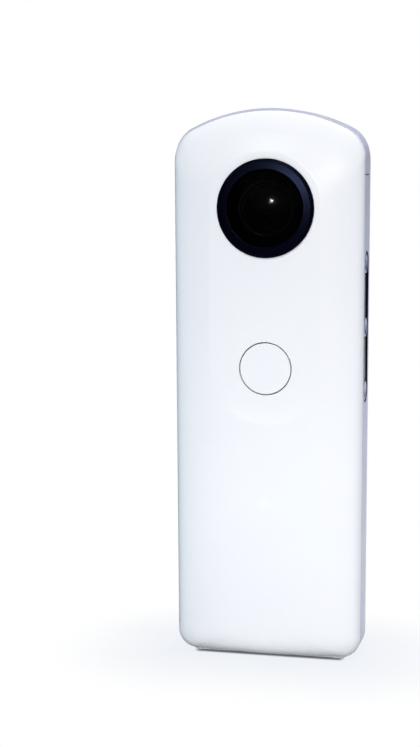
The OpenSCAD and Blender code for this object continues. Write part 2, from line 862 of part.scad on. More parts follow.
module chassis() color(metal_grey) difference() {
    union() {
        slab([
            [-frame_x(chassis_low), chassis_low], [frame_x(chassis_low), chassis_low],
            [frame_x(key_notch_low), key_notch_low], [key_board_x - board_t, key_notch_low],
            [key_board_x - board_t, chassis_top], [-frame_x(chassis_top), chassis_top]
        ], 0, chassis_t);
        for (place = standoffs) rod_y(place, standoff_r, board_rear_y, chassis_t / 2);
    }
    for (place = standoffs) rod_y(place, board_screw_r + fit, board_rear_y - past, chassis_t + past);
    for (place = boss_places) rod_y(place, chassis_screw_r + slip, -past, chassis_t + past);
    block([-lead_w / 2 - slip, -past, lead_z - lead_t - slip],
        [lead_w / 2 + slip, chassis_t + past, lead_z + slip]);
}

module chassis_screws() color(metal_grey) for (place = boss_places) {
    rod_y(place, chassis_screw_r, chassis_t - chassis_screw_l, chassis_t);
    rod_y(place, chassis_screw_head_r, chassis_t, chassis_t + chassis_screw_head_h);
}

// Main board with a tongue down to the charging socket
tongue_side = 0.6;
board_low = chassis_low;

module main_board() color(board_green) difference() {
    slab([
        [-board_w / 2, board_low], [socket_x - socket_w / 2 - tongue_side, board_low],
        [socket_x - socket_w / 2 - tongue_side, inner_floor + slip],
        [socket_x + socket_w / 2 + tongue_side, inner_floor + slip],
        [socket_x + socket_w / 2 + tongue_side, board_low],
        [board_w / 2, board_low], [board_w / 2, board_top], [-board_w / 2, board_top]
    ], board_front_y, board_rear_y);
    for (place = standoffs) rod_y(place, board_screw_r + slip, board_front_y - past, board_rear_y + past);
}

module board_screws() color(metal_grey) for (place = standoffs) {
    rod_y(place, board_screw_r, board_front_y, chassis_t);
    rod_y(place, board_screw_head_r, board_front_y - board_screw_head_h, board_front_y);
}

// Chip on the front of the main board: lower left corner, width, height and thickness
module chip(x, z, w, h, t) {
    block([x, board_front_y - t, z], [x + w, board_front_y, z + h]);
}

shield_w = 17;
shield_h = 17;
shield_t = 1.7;
shield_wall = 0.3;
shield_x = -11;
shield_gap = 9.9;
shield_z = shutter_z - switch_w / 2 - shield_gap - shield_h;

module processor_shield() color(metal_grey) difference() {
    chip(shield_x, shield_z, shield_w, shield_h, shield_t);
    translate([0, shield_wall, 0]) chip(shield_x + shield_wall, shield_z + shield_wall,
        shield_w - 2 * shield_wall, shield_h - 2 * shield_wall, shield_t);
}

lamp_gap = 1.2;
lamp_pitch = 3;
lamp_w = 1.2;
lamp_h = 0.8;
lamp_t = 0.6;
lamp_z = shield_z - lamp_gap - lamp_h;

module status_lamps() color(lamp_white) for (i = [-1:1])
    chip(lamp_pitch * i - lamp_w / 2, lamp_z, lamp_w, lamp_h, lamp_t);

memory_w = 10;
memory_h = 8;
memory_t = 1;
memory_gap = 3;

module memory_chip() color(ink_black)
    chip(-memory_w / 2, lamp_z - memory_gap - memory_h, memory_w, memory_h, memory_t);

wireless_w = 12;
wireless_h = 9;
wireless_t = 1.8;
wireless_drop = 4;

module wireless_module() color(metal_grey)
    chip(-wireless_w / 2, board_top - wireless_drop - wireless_h, wireless_w, wireless_h, wireless_t);

module battery() color(cell_grey) translate([0, chassis_t + battery_t, battery_low])
    rotate([90, 0, 0]) linear_extrude(battery_t) translate([0, battery_h / 2])
        polygon(round_box(battery_w, battery_h, battery_corner));

// Flat lead from the top of the battery through the chassis to the back of the main board
module battery_lead() color(cable_amber) {
    block([-lead_w / 2, chassis_t + lead_t, battery_top], [lead_w / 2, chassis_t + 2 * lead_t, lead_z]);
    block([-lead_w / 2, board_rear_y, lead_z - lead_t], [lead_w / 2, chassis_t + lead_t, lead_z]);
}

mic_w = 3.6;
mic_d = 2.6;
mic_h = 1;

module microphone() color(metal_grey)
    block([-mic_w / 2, -mic_d / 2, mic_pad_z - mic_h], [mic_w / 2, mic_d / 2, mic_pad_z]);

// Antenna strip bent along the inside of the arch
antenna_t = 0.3;
antenna_d = 4.8;
antenna_turn = 18;
antenna_from = 180 - acos((half_w - shoulder_r) / (arch_r - shoulder_r)) - antenna_turn;
inner_arch_r = arch_r * (half_w - wall) / half_w;

module antenna() color(cable_amber)
    translate([0, 0, body_h - wall - inner_arch_r]) rotate([90, 0, 0])
        rotate([0, 0, antenna_from]) rotate_extrude(angle = antenna_turn, $fn = dome_fn)
            translate([inner_arch_r - slip - antenna_t - fit, -antenna_d / 2])
                square([antenna_t, antenna_d]);

// Loudspeaker over the sound slots
speaker_w = 8;
speaker_d = 5;
speaker_h = 3.2;
speaker_gap = 0.7;
speaker_x = bush_flange_r + speaker_gap + speaker_w / 2;

module loudspeaker() color(ink_black)
    block([speaker_x - speaker_w / 2, -speaker_d / 2, inner_floor],
        [speaker_x + speaker_w / 2, speaker_d / 2, inner_floor + speaker_h]);

// Charging socket: metal shell round a cavity, with a tongue inside
socket_l = 5.2;
socket_wall = 0.3;
socket_back = 0.8;
socket_sink = 0.5;
socket_mouth = plate_low + socket_sink;

module socket_opening(gap) {
    block([socket_x - socket_w / 2 - gap, -socket_h / 2 - gap, -past],
        [socket_x + socket_w / 2 + gap, socket_h / 2 + gap, inner_floor + past]);
}

module charging_socket() color(metal_grey) difference() {
    block([socket_x - socket_w / 2, -socket_h / 2, socket_mouth],
        [socket_x + socket_w / 2, socket_h / 2, socket_mouth + socket_l]);
    block([socket_x - socket_w / 2 + socket_wall, socket_wall - socket_h / 2, socket_mouth - past],
        [socket_x + socket_w / 2 - socket_wall, socket_h / 2 - socket_wall,
            socket_mouth + socket_l - socket_back]);
}

tongue_w = 4.6;
tongue_t = 0.6;

module socket_tongue() color(ink_black)
    block([socket_x - tongue_w / 2, -tongue_t / 2, socket_mouth + socket_back],
        [socket_x + tongue_w / 2, tongue_t / 2, socket_mouth + socket_l - socket_back]);

// Tripod bush: nose through base plate and frame, flange on the frame's floor, blind thread
module tripod_bush() color(brass) difference() {
    union() {
        rod(bush_nose_r, plate_low, inner_floor + bush_flange_t);
        rod(bush_flange_r, inner_floor, inner_floor + bush_flange_t);
        rod(bush_body_r, inner_floor, plate_low + thread_l + bush_cap);
    }
    rod(thread_r, plate_low - past, plate_low + thread_l);
}

module base_screws() color(metal_grey) for (x = base_screw_xs) translate([x, 0, plate_low]) {
    rod(base_screw_head_r, slip, base_screw_head_h);
    rod(base_screw_r, base_screw_head_h, inner_floor - plate_low);
}

front_shell();
rear_shell();
side_frame();
top_cap();
base_plate();
control_strip();
shutter_button();
shutter_plunger();
power_button();
power_lamp();
power_plunger();
wireless_button();
wireless_plunger();
mode_button();
mode_plunger();
front_lens_ring();
front_lens_seal();
front_dome_lens();
front_lens_barrel();
front_second_lens();
front_prism();
front_imaging_barrel();
front_imaging_lenses();
front_sensor();
front_sensor_board();
front_sensor_cable();
rear_lens_ring();
rear_lens_seal();
rear_dome_lens();
rear_lens_barrel();
rear_second_lens();
rear_prism();
rear_imaging_barrel();
rear_imaging_lenses();
rear_sensor();
rear_sensor_board();
rear_sensor_cable();
optics_block();
chassis();
main_board();
processor_shield();
memory_chip();
wireless_module();
status_lamps();
shutter_switch();
key_board();
key_switches();
battery();
battery_lead();
microphone();
antenna();
loudspeaker();
charging_socket();
socket_tongue();
tripod_bush();
chassis_screws();
board_screws();
base_screws();
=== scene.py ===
"""Looks of the pocket 360 degree camera: smooth meshes, materials, light and the photograph's view."""

import json
import math

import bmesh
import bpy
import numpy as np
from mathutils import Matrix, Vector
from mathutils.geometry import delaunay_2d_cdt


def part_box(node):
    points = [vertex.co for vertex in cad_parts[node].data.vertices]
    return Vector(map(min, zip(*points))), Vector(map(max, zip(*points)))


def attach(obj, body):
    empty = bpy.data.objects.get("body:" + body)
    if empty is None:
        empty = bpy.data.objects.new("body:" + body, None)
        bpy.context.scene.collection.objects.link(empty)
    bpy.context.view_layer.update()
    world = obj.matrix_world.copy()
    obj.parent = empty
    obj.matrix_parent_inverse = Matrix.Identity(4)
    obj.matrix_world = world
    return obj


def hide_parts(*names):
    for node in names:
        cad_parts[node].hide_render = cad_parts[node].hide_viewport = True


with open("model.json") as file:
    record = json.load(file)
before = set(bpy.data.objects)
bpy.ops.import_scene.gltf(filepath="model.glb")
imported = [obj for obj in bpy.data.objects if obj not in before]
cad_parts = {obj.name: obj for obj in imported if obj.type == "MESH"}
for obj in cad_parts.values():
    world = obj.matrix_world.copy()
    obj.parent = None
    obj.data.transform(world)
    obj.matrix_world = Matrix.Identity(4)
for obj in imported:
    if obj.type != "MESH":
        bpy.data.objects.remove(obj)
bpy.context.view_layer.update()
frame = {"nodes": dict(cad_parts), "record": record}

MM = 0.001
TINY = 1e-6

# Sizes of the body, in millimetres, as in the part's source
BODY_W, BODY_H, BODY_D = 45.2, 130.6, 17.9
FACE_LEAN, SIDE_LEAN = 0.45, 0.4
ARCH_R, SHOULDER_R, CORNER_R = 40.5, 7.7, 4.6
TOP_FALL, FOOT_FALL, FOOT_BOW = 21.0, 5.4, 2.4
SIDE_POWER, TOP_POWER, FOOT_POWER = 2.8, 1.85, 2.6
WALL, BAND_W, RIM, LIP_T, CREST_DROP = 1.4, 7.3, 0.4, 0.8, 0.6
FACET_R, FACET_SINK = 13.2, 0.25
LENS_DROP, SHUTTER_DROP, POWER_DROP, KEY_PITCH = 23.1, 37.4, 12.9, 15.0
FOOT_Z, FOOT_H, BASE_WALL = 0.6, 0.4, 2.6
PLATE_W, PLATE_D, PLATE_T, PLATE_CORNER = 38.0, 9.0, 1.2, 2.4
FIT, SLIP, PRESS_GAP, BITE, PAST = 0.05, 0.1, 0.3, 0.5, 1.0

# Faces and heights that the pieces share
HALF_W, HALF_D, SEAM_Y = BODY_W / 2, BODY_D / 2, BAND_W / 2
RIM_Y = SEAM_Y + RIM
SHELL_TOP = BODY_H - CREST_DROP
SHOULDER_Z = BODY_H - ARCH_R + math.sqrt((ARCH_R - SHOULDER_R) ** 2 - (HALF_W - SHOULDER_R) ** 2)
LENS_Z = BODY_H - LENS_DROP
SHUTTER_Z = LENS_Z - SHUTTER_DROP
KEY_ZS = [LENS_Z - POWER_DROP - KEY_PITCH * i for i in range(3)]
PLATE_SEAT = FOOT_H + PLATE_T
INNER_FLOOR = FOOT_Z + BASE_WALL

# Lens groups: radii, and heights above the facet
RING_D, RING_H, RING_FACE = 23.0, 1.2, 2.5
RING_RIM_H, RING_BEVEL_IN, RING_BEVEL_H = 0.35, 0.75, 0.82
LENS_FLANGE, LENS_SEAT_H, LENS_BACK_H = 0.5, 0.5, -0.9
SPIGOT_WALL, SEAL_T, SEAL_W = 0.75, 0.3, 0.6
DOME_RISE, DOME_R, DOME_T, HOLLOW_D = 3.04, 19.0, 1.2, 12.4
OPTICS_Y, SECOND_D, SECOND_LIP, SECOND_LIP_T = 4.2, 11.4, 1.1, 0.3
SECOND_EDGE, SECOND_T, SECOND_HOLLOW_R = 1.7, 0.8, 6.2
RING_R = RING_D / 2
GLASS_R = RING_R - RING_FACE
LENS_R = GLASS_R + LENS_FLANGE
SPIGOT_R = LENS_R + FIT + SPIGOT_WALL
SEAL_R = (SPIGOT_R + RING_R) / 2
HOLLOW_R, SECOND_R = HOLLOW_D / 2, SECOND_D / 2

# Shutter button, and side keys with the lamp in the first
SHUTTER_D, SHUTTER_GAP = 12.0, 0.28
CAP_FLANGE, CAP_FLANGE_RIM, SHUTTER_STEM_R = 0.7, 0.7, 1.6
KEY_D, KEY_SINK, KEY_DISH, KEY_DISH_R = 4.7, 0.08, 0.3, 6.0
KEY_FLANGE_T, KEY_FLANGE_RIM, KEY_STEM_R = 0.7, 0.65, 0.9
LAMP_R = 0.6
SHUTTER_R, KEY_R = SHUTTER_D / 2, KEY_D / 2

# Screw bosses inside the front shell, and clips inside the rear shell
BOSS_R, BOSS_RISE, BOSS_DROP, KEY_BOARD_MARGIN = 1.8, 13.0, 8.4, 5.0
CHASSIS_SCREW_R, CHASSIS_SCREW_L = 0.7, 4.0
CLIP_W, CLIP_T, CLIP_Y = 4.0, 1.2, 2.4
BOSS_ZS = (INNER_FLOOR + BOSS_RISE, KEY_ZS[2] - KEY_BOARD_MARGIN - BOSS_DROP)
CLIP_ZS = ((BOSS_ZS[0] + BOSS_ZS[1]) / 2, (KEY_ZS[0] + KEY_ZS[1]) / 2)

# Tripod bush, and screws of the base plate
BUSH_NOSE_R, BUSH_FLANGE_R, BUSH_FLANGE_T, BUSH_BODY_R = 3.5, 5.2, 1.2, 4.0
THREAD_R, THREAD_L = 2.56, 6.4
BASE_SCREW_HEAD_R = 1.25

# Finer than the solids: soft ramp and blend at the facet, edge roundings, bevel on the dome and trim ring
FACET_RAMP, FACET_BLEND = 5.0, 6.0
SOFT, FINE, BORE_ROUND = 0.1, 0.05, 0.1
BEVEL_ROUND, RIM_ROUND, RING_FOOT_ROUND = 0.25, 0.12, 0.04
BUTTON_ROUND, KEY_ROUND = 0.14, 0.28
DOME_BEVEL, DOME_BEVEL_H = 0.1, 0.7
TRIM_WIRE, TRIM_BITE = 0.1, 0.01

# Thread and cross recesses, which the solids leave out
THREAD_PITCH, THREAD_OUT, THREAD_FLAT, THREAD_ROWS = 1.27, 3.12, 0.115, 70
THREAD_LEAD, THREAD_TIP, BUSH_LIP = 0.3, 0.6, 0.2
CROSS_L, CROSS_W, CROSS_DEPTH = 1.5, 0.3, 0.35


# Shape of the body

def fall(b, power):
    """Share of a fall length that is used up when the face has risen by the share b"""
    return 1 - (1 - b ** power) ** (1 / power)


def waist(z):
    """Factor on the width at height z, from the lean of the sides"""
    return 1 - SIDE_LEAN / HALF_W * np.maximum(0, 1 - z / SHOULDER_Z)


def side_x(z):
    """Half width over the side faces"""
    return float(HALF_W * waist(z))


def frame_x(z):
    """Half width inside the lip of the side frame"""
    return float((HALF_W - WALL - LIP_T) * waist(z))


def face_y(z):
    """Half depth of the crown at height z"""
    return HALF_D - FACE_LEAN * (z - FOOT_Z) / (LENS_Z - FOOT_Z)


def inner_y(x, z):
    """Depth of the shell's inner face at the half width x and height z"""
    share = x / float((HALF_W - WALL) * waist(z))
    return SEAM_Y + (face_y(z) - WALL - SEAM_Y) * (1 - share ** SIDE_POWER) ** (1 / SIDE_POWER)


FACET_Y = face_y(SHUTTER_Z) - FACET_SINK

# Points along each stretch of half an outline
SOLE_N, CORNER_N, SIDE_N, SHOULDER_N, ARCH_N = 14, 14, 44, 16, 22


def arc(x, y, r, start, end, n):
    """Points on an arc round (x, y), from one angle to another"""
    angles = (start + (end - start) * i / n for i in range(n + 1))
    return [(x + r * math.cos(a), y + r * math.sin(a)) for a in angles]


def outline_sizes(w, top):
    """Radii of arch, shoulder and corner, heights of the centres of the first two, angle where these meet"""
    k = w / HALF_W
    arch_r, shoulder_r, corner_r = ARCH_R * k, SHOULDER_R * k, CORNER_R * k
    arch_z = top - arch_r
    shoulder_z = arch_z + np.sqrt(np.maximum((arch_r - shoulder_r) ** 2 - (w - shoulder_r) ** 2, 0))
    return arch_r, shoulder_r, corner_r, arch_z, shoulder_z, np.arctan2(shoulder_z - arch_z, w - shoulder_r)


def outline(w, top, foot, bow=0.0):
    """Closed outline (x, z), half as wide as w; bow lifts the ends of its sole"""
    arch_r, shoulder_r, corner_r, arch_z, shoulder_z, meet = outline_sizes(w, top)
    sole_w = w - corner_r
    corner_z = foot + bow * (sole_w / w) ** 2 + corner_r
    sole = [(x, foot + bow * (x / w) ** 2) for x in (sole_w * i / SOLE_N for i in range(SOLE_N))]
    side = [(w, corner_z + (shoulder_z - corner_z) * i / SIDE_N) for i in range(1, SIDE_N)]
    right = (sole + arc(sole_w, corner_z, corner_r, -math.pi / 2, 0, CORNER_N) + side
             + arc(w - shoulder_r, shoulder_z, shoulder_r, 0, meet, SHOULDER_N)
             + arc(0, arch_z, arch_r, meet, math.pi / 2, ARCH_N)[1:-1] + [(0.0, top)])
    left = [(-x, z) for x, z in right[-2:0:-1]]
    points = np.array(right + left)
    points[:, 0] *= waist(points[:, 1])
    return points


def ring_sizes(b):
    """Half width, top, foot and bow of the shell's outline where its face has risen by the share b"""
    return (HALF_W * (1 - fall(b, SIDE_POWER)), SHELL_TOP - TOP_FALL * fall(b, TOP_POWER),
            FOOT_Z + FOOT_FALL * fall(b, FOOT_POWER), FOOT_BOW * b)


def outside(x, z, b):
    """Signed distance of points from the ring at rise b, above 0 outside it"""
    w, top, foot, bow = ring_sizes(b)
    arch_r, shoulder_r, corner_r, arch_z, shoulder_z, meet = outline_sizes(w, top)
    x = np.abs(x) / waist(z)
    corner_x, shoulder_x = w - corner_r, w - shoulder_r
    corner_z = foot + bow * (corner_x / w) ** 2 + corner_r
    straight = np.maximum(x - w, foot + bow * (x / w) ** 2 - z)
    corner = np.hypot(x - corner_x, z - corner_z) - corner_r
    shoulder = np.hypot(x - shoulder_x, z - shoulder_z) - shoulder_r
    arch = np.hypot(x, z - arch_z) - arch_r
    at_corner = (x > corner_x) & (z < corner_z)
    at_shoulder = (z > shoulder_z) & (np.arctan2(z - shoulder_z, x - shoulder_x) < meet)
    at_arch = (z > shoulder_z) & ~at_shoulder & (np.arctan2(z - arch_z, x) >= meet - TINY)
    return np.select([at_corner, at_shoulder, at_arch], [corner, shoulder, arch], straight)


# Search for the rise at a point: its upper end, and how often the range is halved
HIGHEST_RISE, HALVINGS = 0.99995, 34


def crown(x, z):
    """Depth of the moulded face at (x, z)"""
    low, high = np.zeros_like(x), np.full_like(x, HIGHEST_RISE)
    for _ in range(HALVINGS):
        mid = (low + high) / 2
        inside = outside(x, z, mid) < 0
        low, high = np.where(inside, mid, low), np.where(inside, high, mid)
    return RIM_Y + (face_y(z) - RIM_Y) * low


def facet_d(x, z):
    """Distance from the line between the centres of the facet's round ends"""
    return np.hypot(x, z - np.clip(z, SHUTTER_Z, LENS_Z))


def facet_edge(x, z):
    """Depth of the moulded face at the nearest point of the facet's edge"""
    middle = np.clip(z, SHUTTER_Z, LENS_Z)
    k = FACET_R / np.maximum(facet_d(x, z), TINY)
    return crown(x * k, middle + (z - middle) * k)


def face(x, z):
    """Depth of the shell's outer face: a flat facet, a ramp up to its edge and a soft blend outside it"""
    d, edge = facet_d(x, z), facet_edge(x, z)
    ramp = np.clip((d - FACET_R) / FACET_RAMP + 1, 0, 1) ** 2
    blend = np.clip(1 - (d - FACET_R) / FACET_BLEND, 0, 1) ** 2
    facet = FACET_Y + np.maximum(0, edge - FACET_Y) * ramp
    return np.where(d < FACET_R, facet, crown(x, z) + np.maximum(0, FACET_Y - edge) * blend)


def unit(rows):
    return rows / np.linalg.norm(rows, axis=1)[:, None]


def face_normals(x, z, step=0.35):
    slope_x = (face(x + step, z) - face(x - step, z)) / (2 * step)
    slope_z = (face(x, z + step) - face(x, z - step)) / (2 * step)
    return unit(np.stack([-slope_x, np.ones_like(x), -slope_z], 1))


def ring_normals(points, b, step=1e-3):
    """Normals of the skin on the ring at rise b"""
    x, z = points[:, 0], points[:, 1]
    slope_x = (outside(x + step, z, b) - outside(x - step, z, b)) / (2 * step)
    slope_z = (outside(x, z + step, b) - outside(x, z - step, b)) / (2 * step)
    low, high = max(b - step, 0.0), b + step
    slope_b = (outside(x, z, high) - outside(x, z, low)) / (high - low)
    return unit(np.stack([slope_x, slope_b / (face_y(z) - RIM_Y), slope_z], 1))


# Meshes

def linked(name, data):
    """New object in the scene"""
    obj = bpy.data.objects.new(name, data)
    bpy.context.scene.collection.objects.link(obj)
    return obj


def dress(obj, look):
    obj.data.materials.clear()
    obj.data.materials.append(look.mat)


def mesh_of(name, points, faces):
    """Mesh of points in millimetres"""
    mesh = bpy.data.meshes.new(name)
    mesh.from_pydata([tuple(float(c) * MM for c in p) for p in points], [], faces)
    return mesh


def joined(meshes):
    """All meshes in the first one, with outward faces"""
    bm = bmesh.new()
    for mesh in meshes:
        bm.from_mesh(mesh)
    bmesh.ops.recalc_face_normals(bm, faces=bm.faces)
    bm.to_mesh(meshes[0])
    bm.free()
    return meshes[0]


def key_of(point):
    """Point in millimetres as a key, rounded so that it is found again"""
    return tuple(round(float(c), 3) for c in point)


# Largest turn, in degrees, over which normals are soft, and cosine of the largest turn to a known normal
SOFT_TURN, KNOWN_COS = 32, 0.8


def corner_normals(mesh, known):
    """Normals per face corner: the known one at its point, or a mean over the faces that turn little"""
    limit = math.cos(math.radians(SOFT_TURN))
    faces_at = [[] for _ in mesh.vertices]
    for p in mesh.polygons:
        for v in p.vertices:
            faces_at[v].append((p.normal.copy(), p.area))
    out = []
    for p in mesh.polygons:
        for v in p.vertices:
            normal = known.get(key_of(c / MM for c in mesh.vertices[v].co)) if known else None
            if normal is not None and abs(p.normal.dot(normal)) > KNOWN_COS:
                out.append(normal if p.normal.dot(normal) > 0 else -normal)
                continue
            total = Vector()
            for other, area in faces_at[v]:
                if other.dot(p.normal) > limit:
                    total += other * area
            out.append(total.normalized() if total.length > 0 else p.normal.copy())
    return out


def finish_mesh(name, mesh, look, body, nodes, known=None):
    """Object of a mesh, with soft normals, its material, its body and the nodes that it stands for"""
    joined([mesh])
    mesh.shade_smooth()
    mesh.normals_split_custom_set(corner_normals(mesh, known))
    obj = linked(name, mesh)
    dress(obj, look)
    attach(obj, body)
    if nodes:
        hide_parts(*nodes)


def bridge(a, b):
    """Quads between two closed rows of point numbers"""
    n = len(a)
    return [(a[i], a[(i + 1) % n], b[(i + 1) % n], b[i]) for i in range(n)]


def cut(mesh, cutter):
    """The mesh less the cutter's volume"""
    pair = [linked("cut", m) for m in (mesh, cutter)]
    step = pair[0].modifiers.new("cut", "BOOLEAN")
    step.operation, step.solver, step.object = "DIFFERENCE", "EXACT", pair[1]
    bpy.context.view_layer.update()
    graph = bpy.context.evaluated_depsgraph_get()
    result = bpy.data.meshes.new_from_object(pair[0].evaluated_get(graph))
    for obj in pair:
        bpy.data.objects.remove(obj)
    return result


def rectangle(x_low, y_low, x_high, y_high):
    return [(x_low, y_low), (x_high, y_low), (x_high, y_high), (x_low, y_high)]


def round_box(w, d, r, n=10):
    """Rectangle round the origin with round corners"""
    points = []
    for quarter, (x, y) in enumerate(((1, 1), (-1, 1), (-1, -1), (1, -1))):
        start = quarter * math.pi / 2
        points += arc(x * (w / 2 - r), y * (d / 2 - r), r, start, start + math.pi / 2, n)
    return points


def prism_z(name, points, low, high):
    n = len(points)
    foot, top = list(range(n)), list(range(n, 2 * n))
    both = [(x, y, low) for x, y in points] + [(x, y, high) for x, y in points]
    return joined([mesh_of(name, both, [tuple(foot[::-1]), tuple(top)] + bridge(foot, top))])


def on_front(z):
    return lambda x, y, h: (x, -(FACET_Y + h), z + y)


def on_rear(z):
    return lambda x, y, h: (-x, FACET_Y + h, z + y)


def on_side(z):
    return lambda x, y, h: (side_x(z) + h, x, z + y)


def upright(x, y, h):
    return (x, y, h)


def lathe(name, profile, put, n):
    """Mesh of revolution of (r, h), where r may be a function of the angle; a profile that starts on the
    axis stays open, and any other one is closed"""
    verts, rows = [], []
    for r, h in profile:
        start = len(verts)
        if callable(r) or r > TINY:
            for a in (2 * math.pi * i / n for i in range(n)):
                radius = r(a) if callable(r) else r
                verts.append(put(radius * math.cos(a), radius * math.sin(a), h))
        else:
            verts.append(put(0, 0, h))
        rows.append(list(range(start, len(verts))))
    if len(rows[0]) > 1:
        rows.append(rows[0])
    faces = []
    for a, b in zip(rows, rows[1:]):
        if len(a) == 1:
            faces += [(a[0], b[i], b[(i + 1) % n]) for i in range(n)]
        elif len(b) == 1:
            faces += [(a[i], a[(i + 1) % n], b[0]) for i in range(n)]
        else:
            faces += bridge(a, b)
    return mesh_of(name, verts, faces)


def rounded(corners, steps=4):
    """Points of a closed profile whose corners are (r, h, radius of the rounding)"""
    out = []
    points = [np.array(c[:2], float) for c in corners]
    for i, (p, (_, _, r)) in enumerate(zip(points, corners)):
        if not r:
            out.append(tuple(p))
            continue
        a, b = points[i - 1] - p, points[(i + 1) % len(points)] - p
        a_l, b_l = np.linalg.norm(a), np.linalg.norm(b)
        a, b = a / a_l, b / b_l
        half = math.acos(max(-1, min(1, float(a @ b)))) / 2
        reach = min(r / math.tan(half), a_l / 2, b_l / 2)
        centre = p + (a + b) / np.linalg.norm(a + b) * reach / math.cos(half)
        start, end = p + a * reach - centre, p + b * reach - centre
        turn = math.atan2(start[0] * end[1] - start[1] * end[0], float(start @ end))
        first = math.atan2(start[1], start[0])
        out += arc(centre[0], centre[1], np.linalg.norm(start), first, first + turn, steps)
    return out


def sphere_line(r_from, r_to, pole, radius, n):
    """Points (r, h) on a sphere whose pole is at that height; a hollow has a radius below 0"""
    rs = (r_from + (r_to - r_from) * i / n for i in range(n + 1))
    return [(r, pole - radius + math.copysign(math.sqrt(radius ** 2 - r ** 2), radius)) for r in rs]


def dish_reach(radius, depth):
    """Radius of the rim of a hollow in a flat face"""
    return math.sqrt(2 * radius * depth - depth ** 2)


# Distance in metres at which points are one, and turn in degrees below which faces are one
WELD, FLAT_TURN = 2e-7, 0.4


def softened(node, width, steps=3, turn=35):
    """Copy of a CAD node's mesh with its edges rounded"""
    bm = bmesh.new()
    bm.from_mesh(frame["nodes"][node].data)
    bmesh.ops.remove_doubles(bm, verts=bm.verts, dist=WELD)
    bmesh.ops.dissolve_limit(bm, angle_limit=math.radians(FLAT_TURN), verts=bm.verts, edges=bm.edges)
    edges = [e for e in bm.edges if len(e.link_faces) == 2 and e.calc_face_angle() > math.radians(turn)]
    bmesh.ops.bevel(bm, geom=edges, offset=width * MM, offset_type="OFFSET", segments=steps,
                    profile=0.5, affect="EDGES", clamp_overlap=True)
    bmesh.ops.remove_doubles(bm, verts=bm.verts, dist=WELD)
    mesh = bpy.data.meshes.new(node + "_soft")
    bm.to_mesh(mesh)
    bm.free()
    return mesh


# Shells: rings up the rounded edge to a rise, from there a net of points over the face
EDGE_RISE, EDGE_ROWS = 0.6, 12
RISES = [math.sin(math.asin(EDGE_RISE) * i / (EDGE_ROWS - 1)) for i in range(EDGE_ROWS)]
NET_PITCH, NET_ROW_PITCH = 0.95, 0.8265
NET_INSET, NET_GAP, LINE_GAP = 0.4, 0.35, 0.1
CREASE_SHIFTS = (-0.4, -0.18, 0.18, 0.4)
BORE_N, BORE_STEPS, RIM_STEPS = 96, 4, 5
LENS_BORE_R, BUTTON_BORE_R = SPIGOT_R + SLIP, SHUTTER_R + SHUTTER_GAP
INSIDE_TRIANGLES = 1


class Skin:
    """Points, normals and faces of a shell in the making"""

    def __init__(self):
        self.points, self.normals, self.faces = [], [], []

    def add(self, points, normals):
        """Adds points with their normals, and says their numbers"""
        start = len(self.points)
        self.points += [tuple(p) for p in points]
        self.normals += [tuple(v) for v in normals]
        return list(range(start, len(self.points)))


def lifted(points, y):
    """Points (x, z) at the depth y, or each at its own"""
    return np.stack([points[:, 0], np.broadcast_to(y, len(points)), points[:, 1]], 1)


def circle(r, z=0.0):
    a = np.arange(BORE_N) * 2 * math.pi / BORE_N
    return np.stack([r * np.cos(a), z + r * np.sin(a)], 1)


def pill(r, low, high, end_n=72, side_n=50):
    """Outline (x, z) of the facet"""
    heights = [low + (high - low) * i / side_n for i in range(side_n)]
    right = [(r, z) for z in heights] + arc(0, high, r, 0, math.pi, end_n)[:-1]
    left = [(-r, low + high - z) for z in heights] + arc(0, low, r, math.pi, 2 * math.pi, end_n)[:-1]
    return np.array(right + left)


def far_from(points, others, gap):
    """Those points that have no other one within the gap"""
    return np.array([p for p in points if np.min(np.sum((others - p) ** 2, 1)) > gap ** 2])


def face_net(rim, bores):
    """Flat net inside the rim, fine along the facet's edge and open at the bores: its points, its
    triangles, and the point numbers of the rim and of each bore"""
    crease = pill(FACET_R, SHUTTER_Z, LENS_Z)
    loops = [rim, crease] + [circle(r, z) for r, z in bores]
    lines = np.concatenate(loops)
    ends = np.cumsum([len(loop) for loop in loops])
    rows = [list(range(end - len(loop), end)) for loop, end in zip(loops, ends)]
    edges = [edge for row in rows for edge in zip(row, row[1:] + row[:1])]

    middle = np.stack([np.zeros(len(crease)), np.clip(crease[:, 1], SHUTTER_Z, LENS_Z)], 1)
    outwards = unit(crease - middle)
    beside = np.concatenate([crease + outwards * shift for shift in CREASE_SHIFTS])
    xs, zs = np.arange(-HALF_W, HALF_W, NET_PITCH), np.arange(0, BODY_H, NET_ROW_PITCH)
    net = np.array([(x + (j % 2) * NET_PITCH / 2, z) for j, z in enumerate(zs) for x in xs])
    net = net[outside(net[:, 0], net[:, 1], EDGE_RISE) < -NET_INSET]
    net = far_from(net, np.concatenate([lines, beside]), NET_GAP)
    points = np.concatenate([lines, far_from(beside, lines, LINE_GAP), net])

    flat, _, triangles, sources, _, _ = delaunay_2d_cdt(
        [Vector(p) for p in points], edges, [], INSIDE_TRIANGLES, TINY)
    flat = np.array([tuple(p) for p in flat])
    number = {s: i for i, group in enumerate(sources) for s in group}

    def in_bore(triangle):
        x, z = flat[list(triangle)].mean(0)
        return any(math.hypot(x, z - bore_z) < r * math.cos(math.pi / BORE_N) for r, bore_z in bores)

    kept = [tuple(t) for t in triangles if not in_bore(t)]
    rim_row, _, *bore_rows = [[number[i] for i in row] for row in rows]
    return flat, kept, rim_row, bore_rows


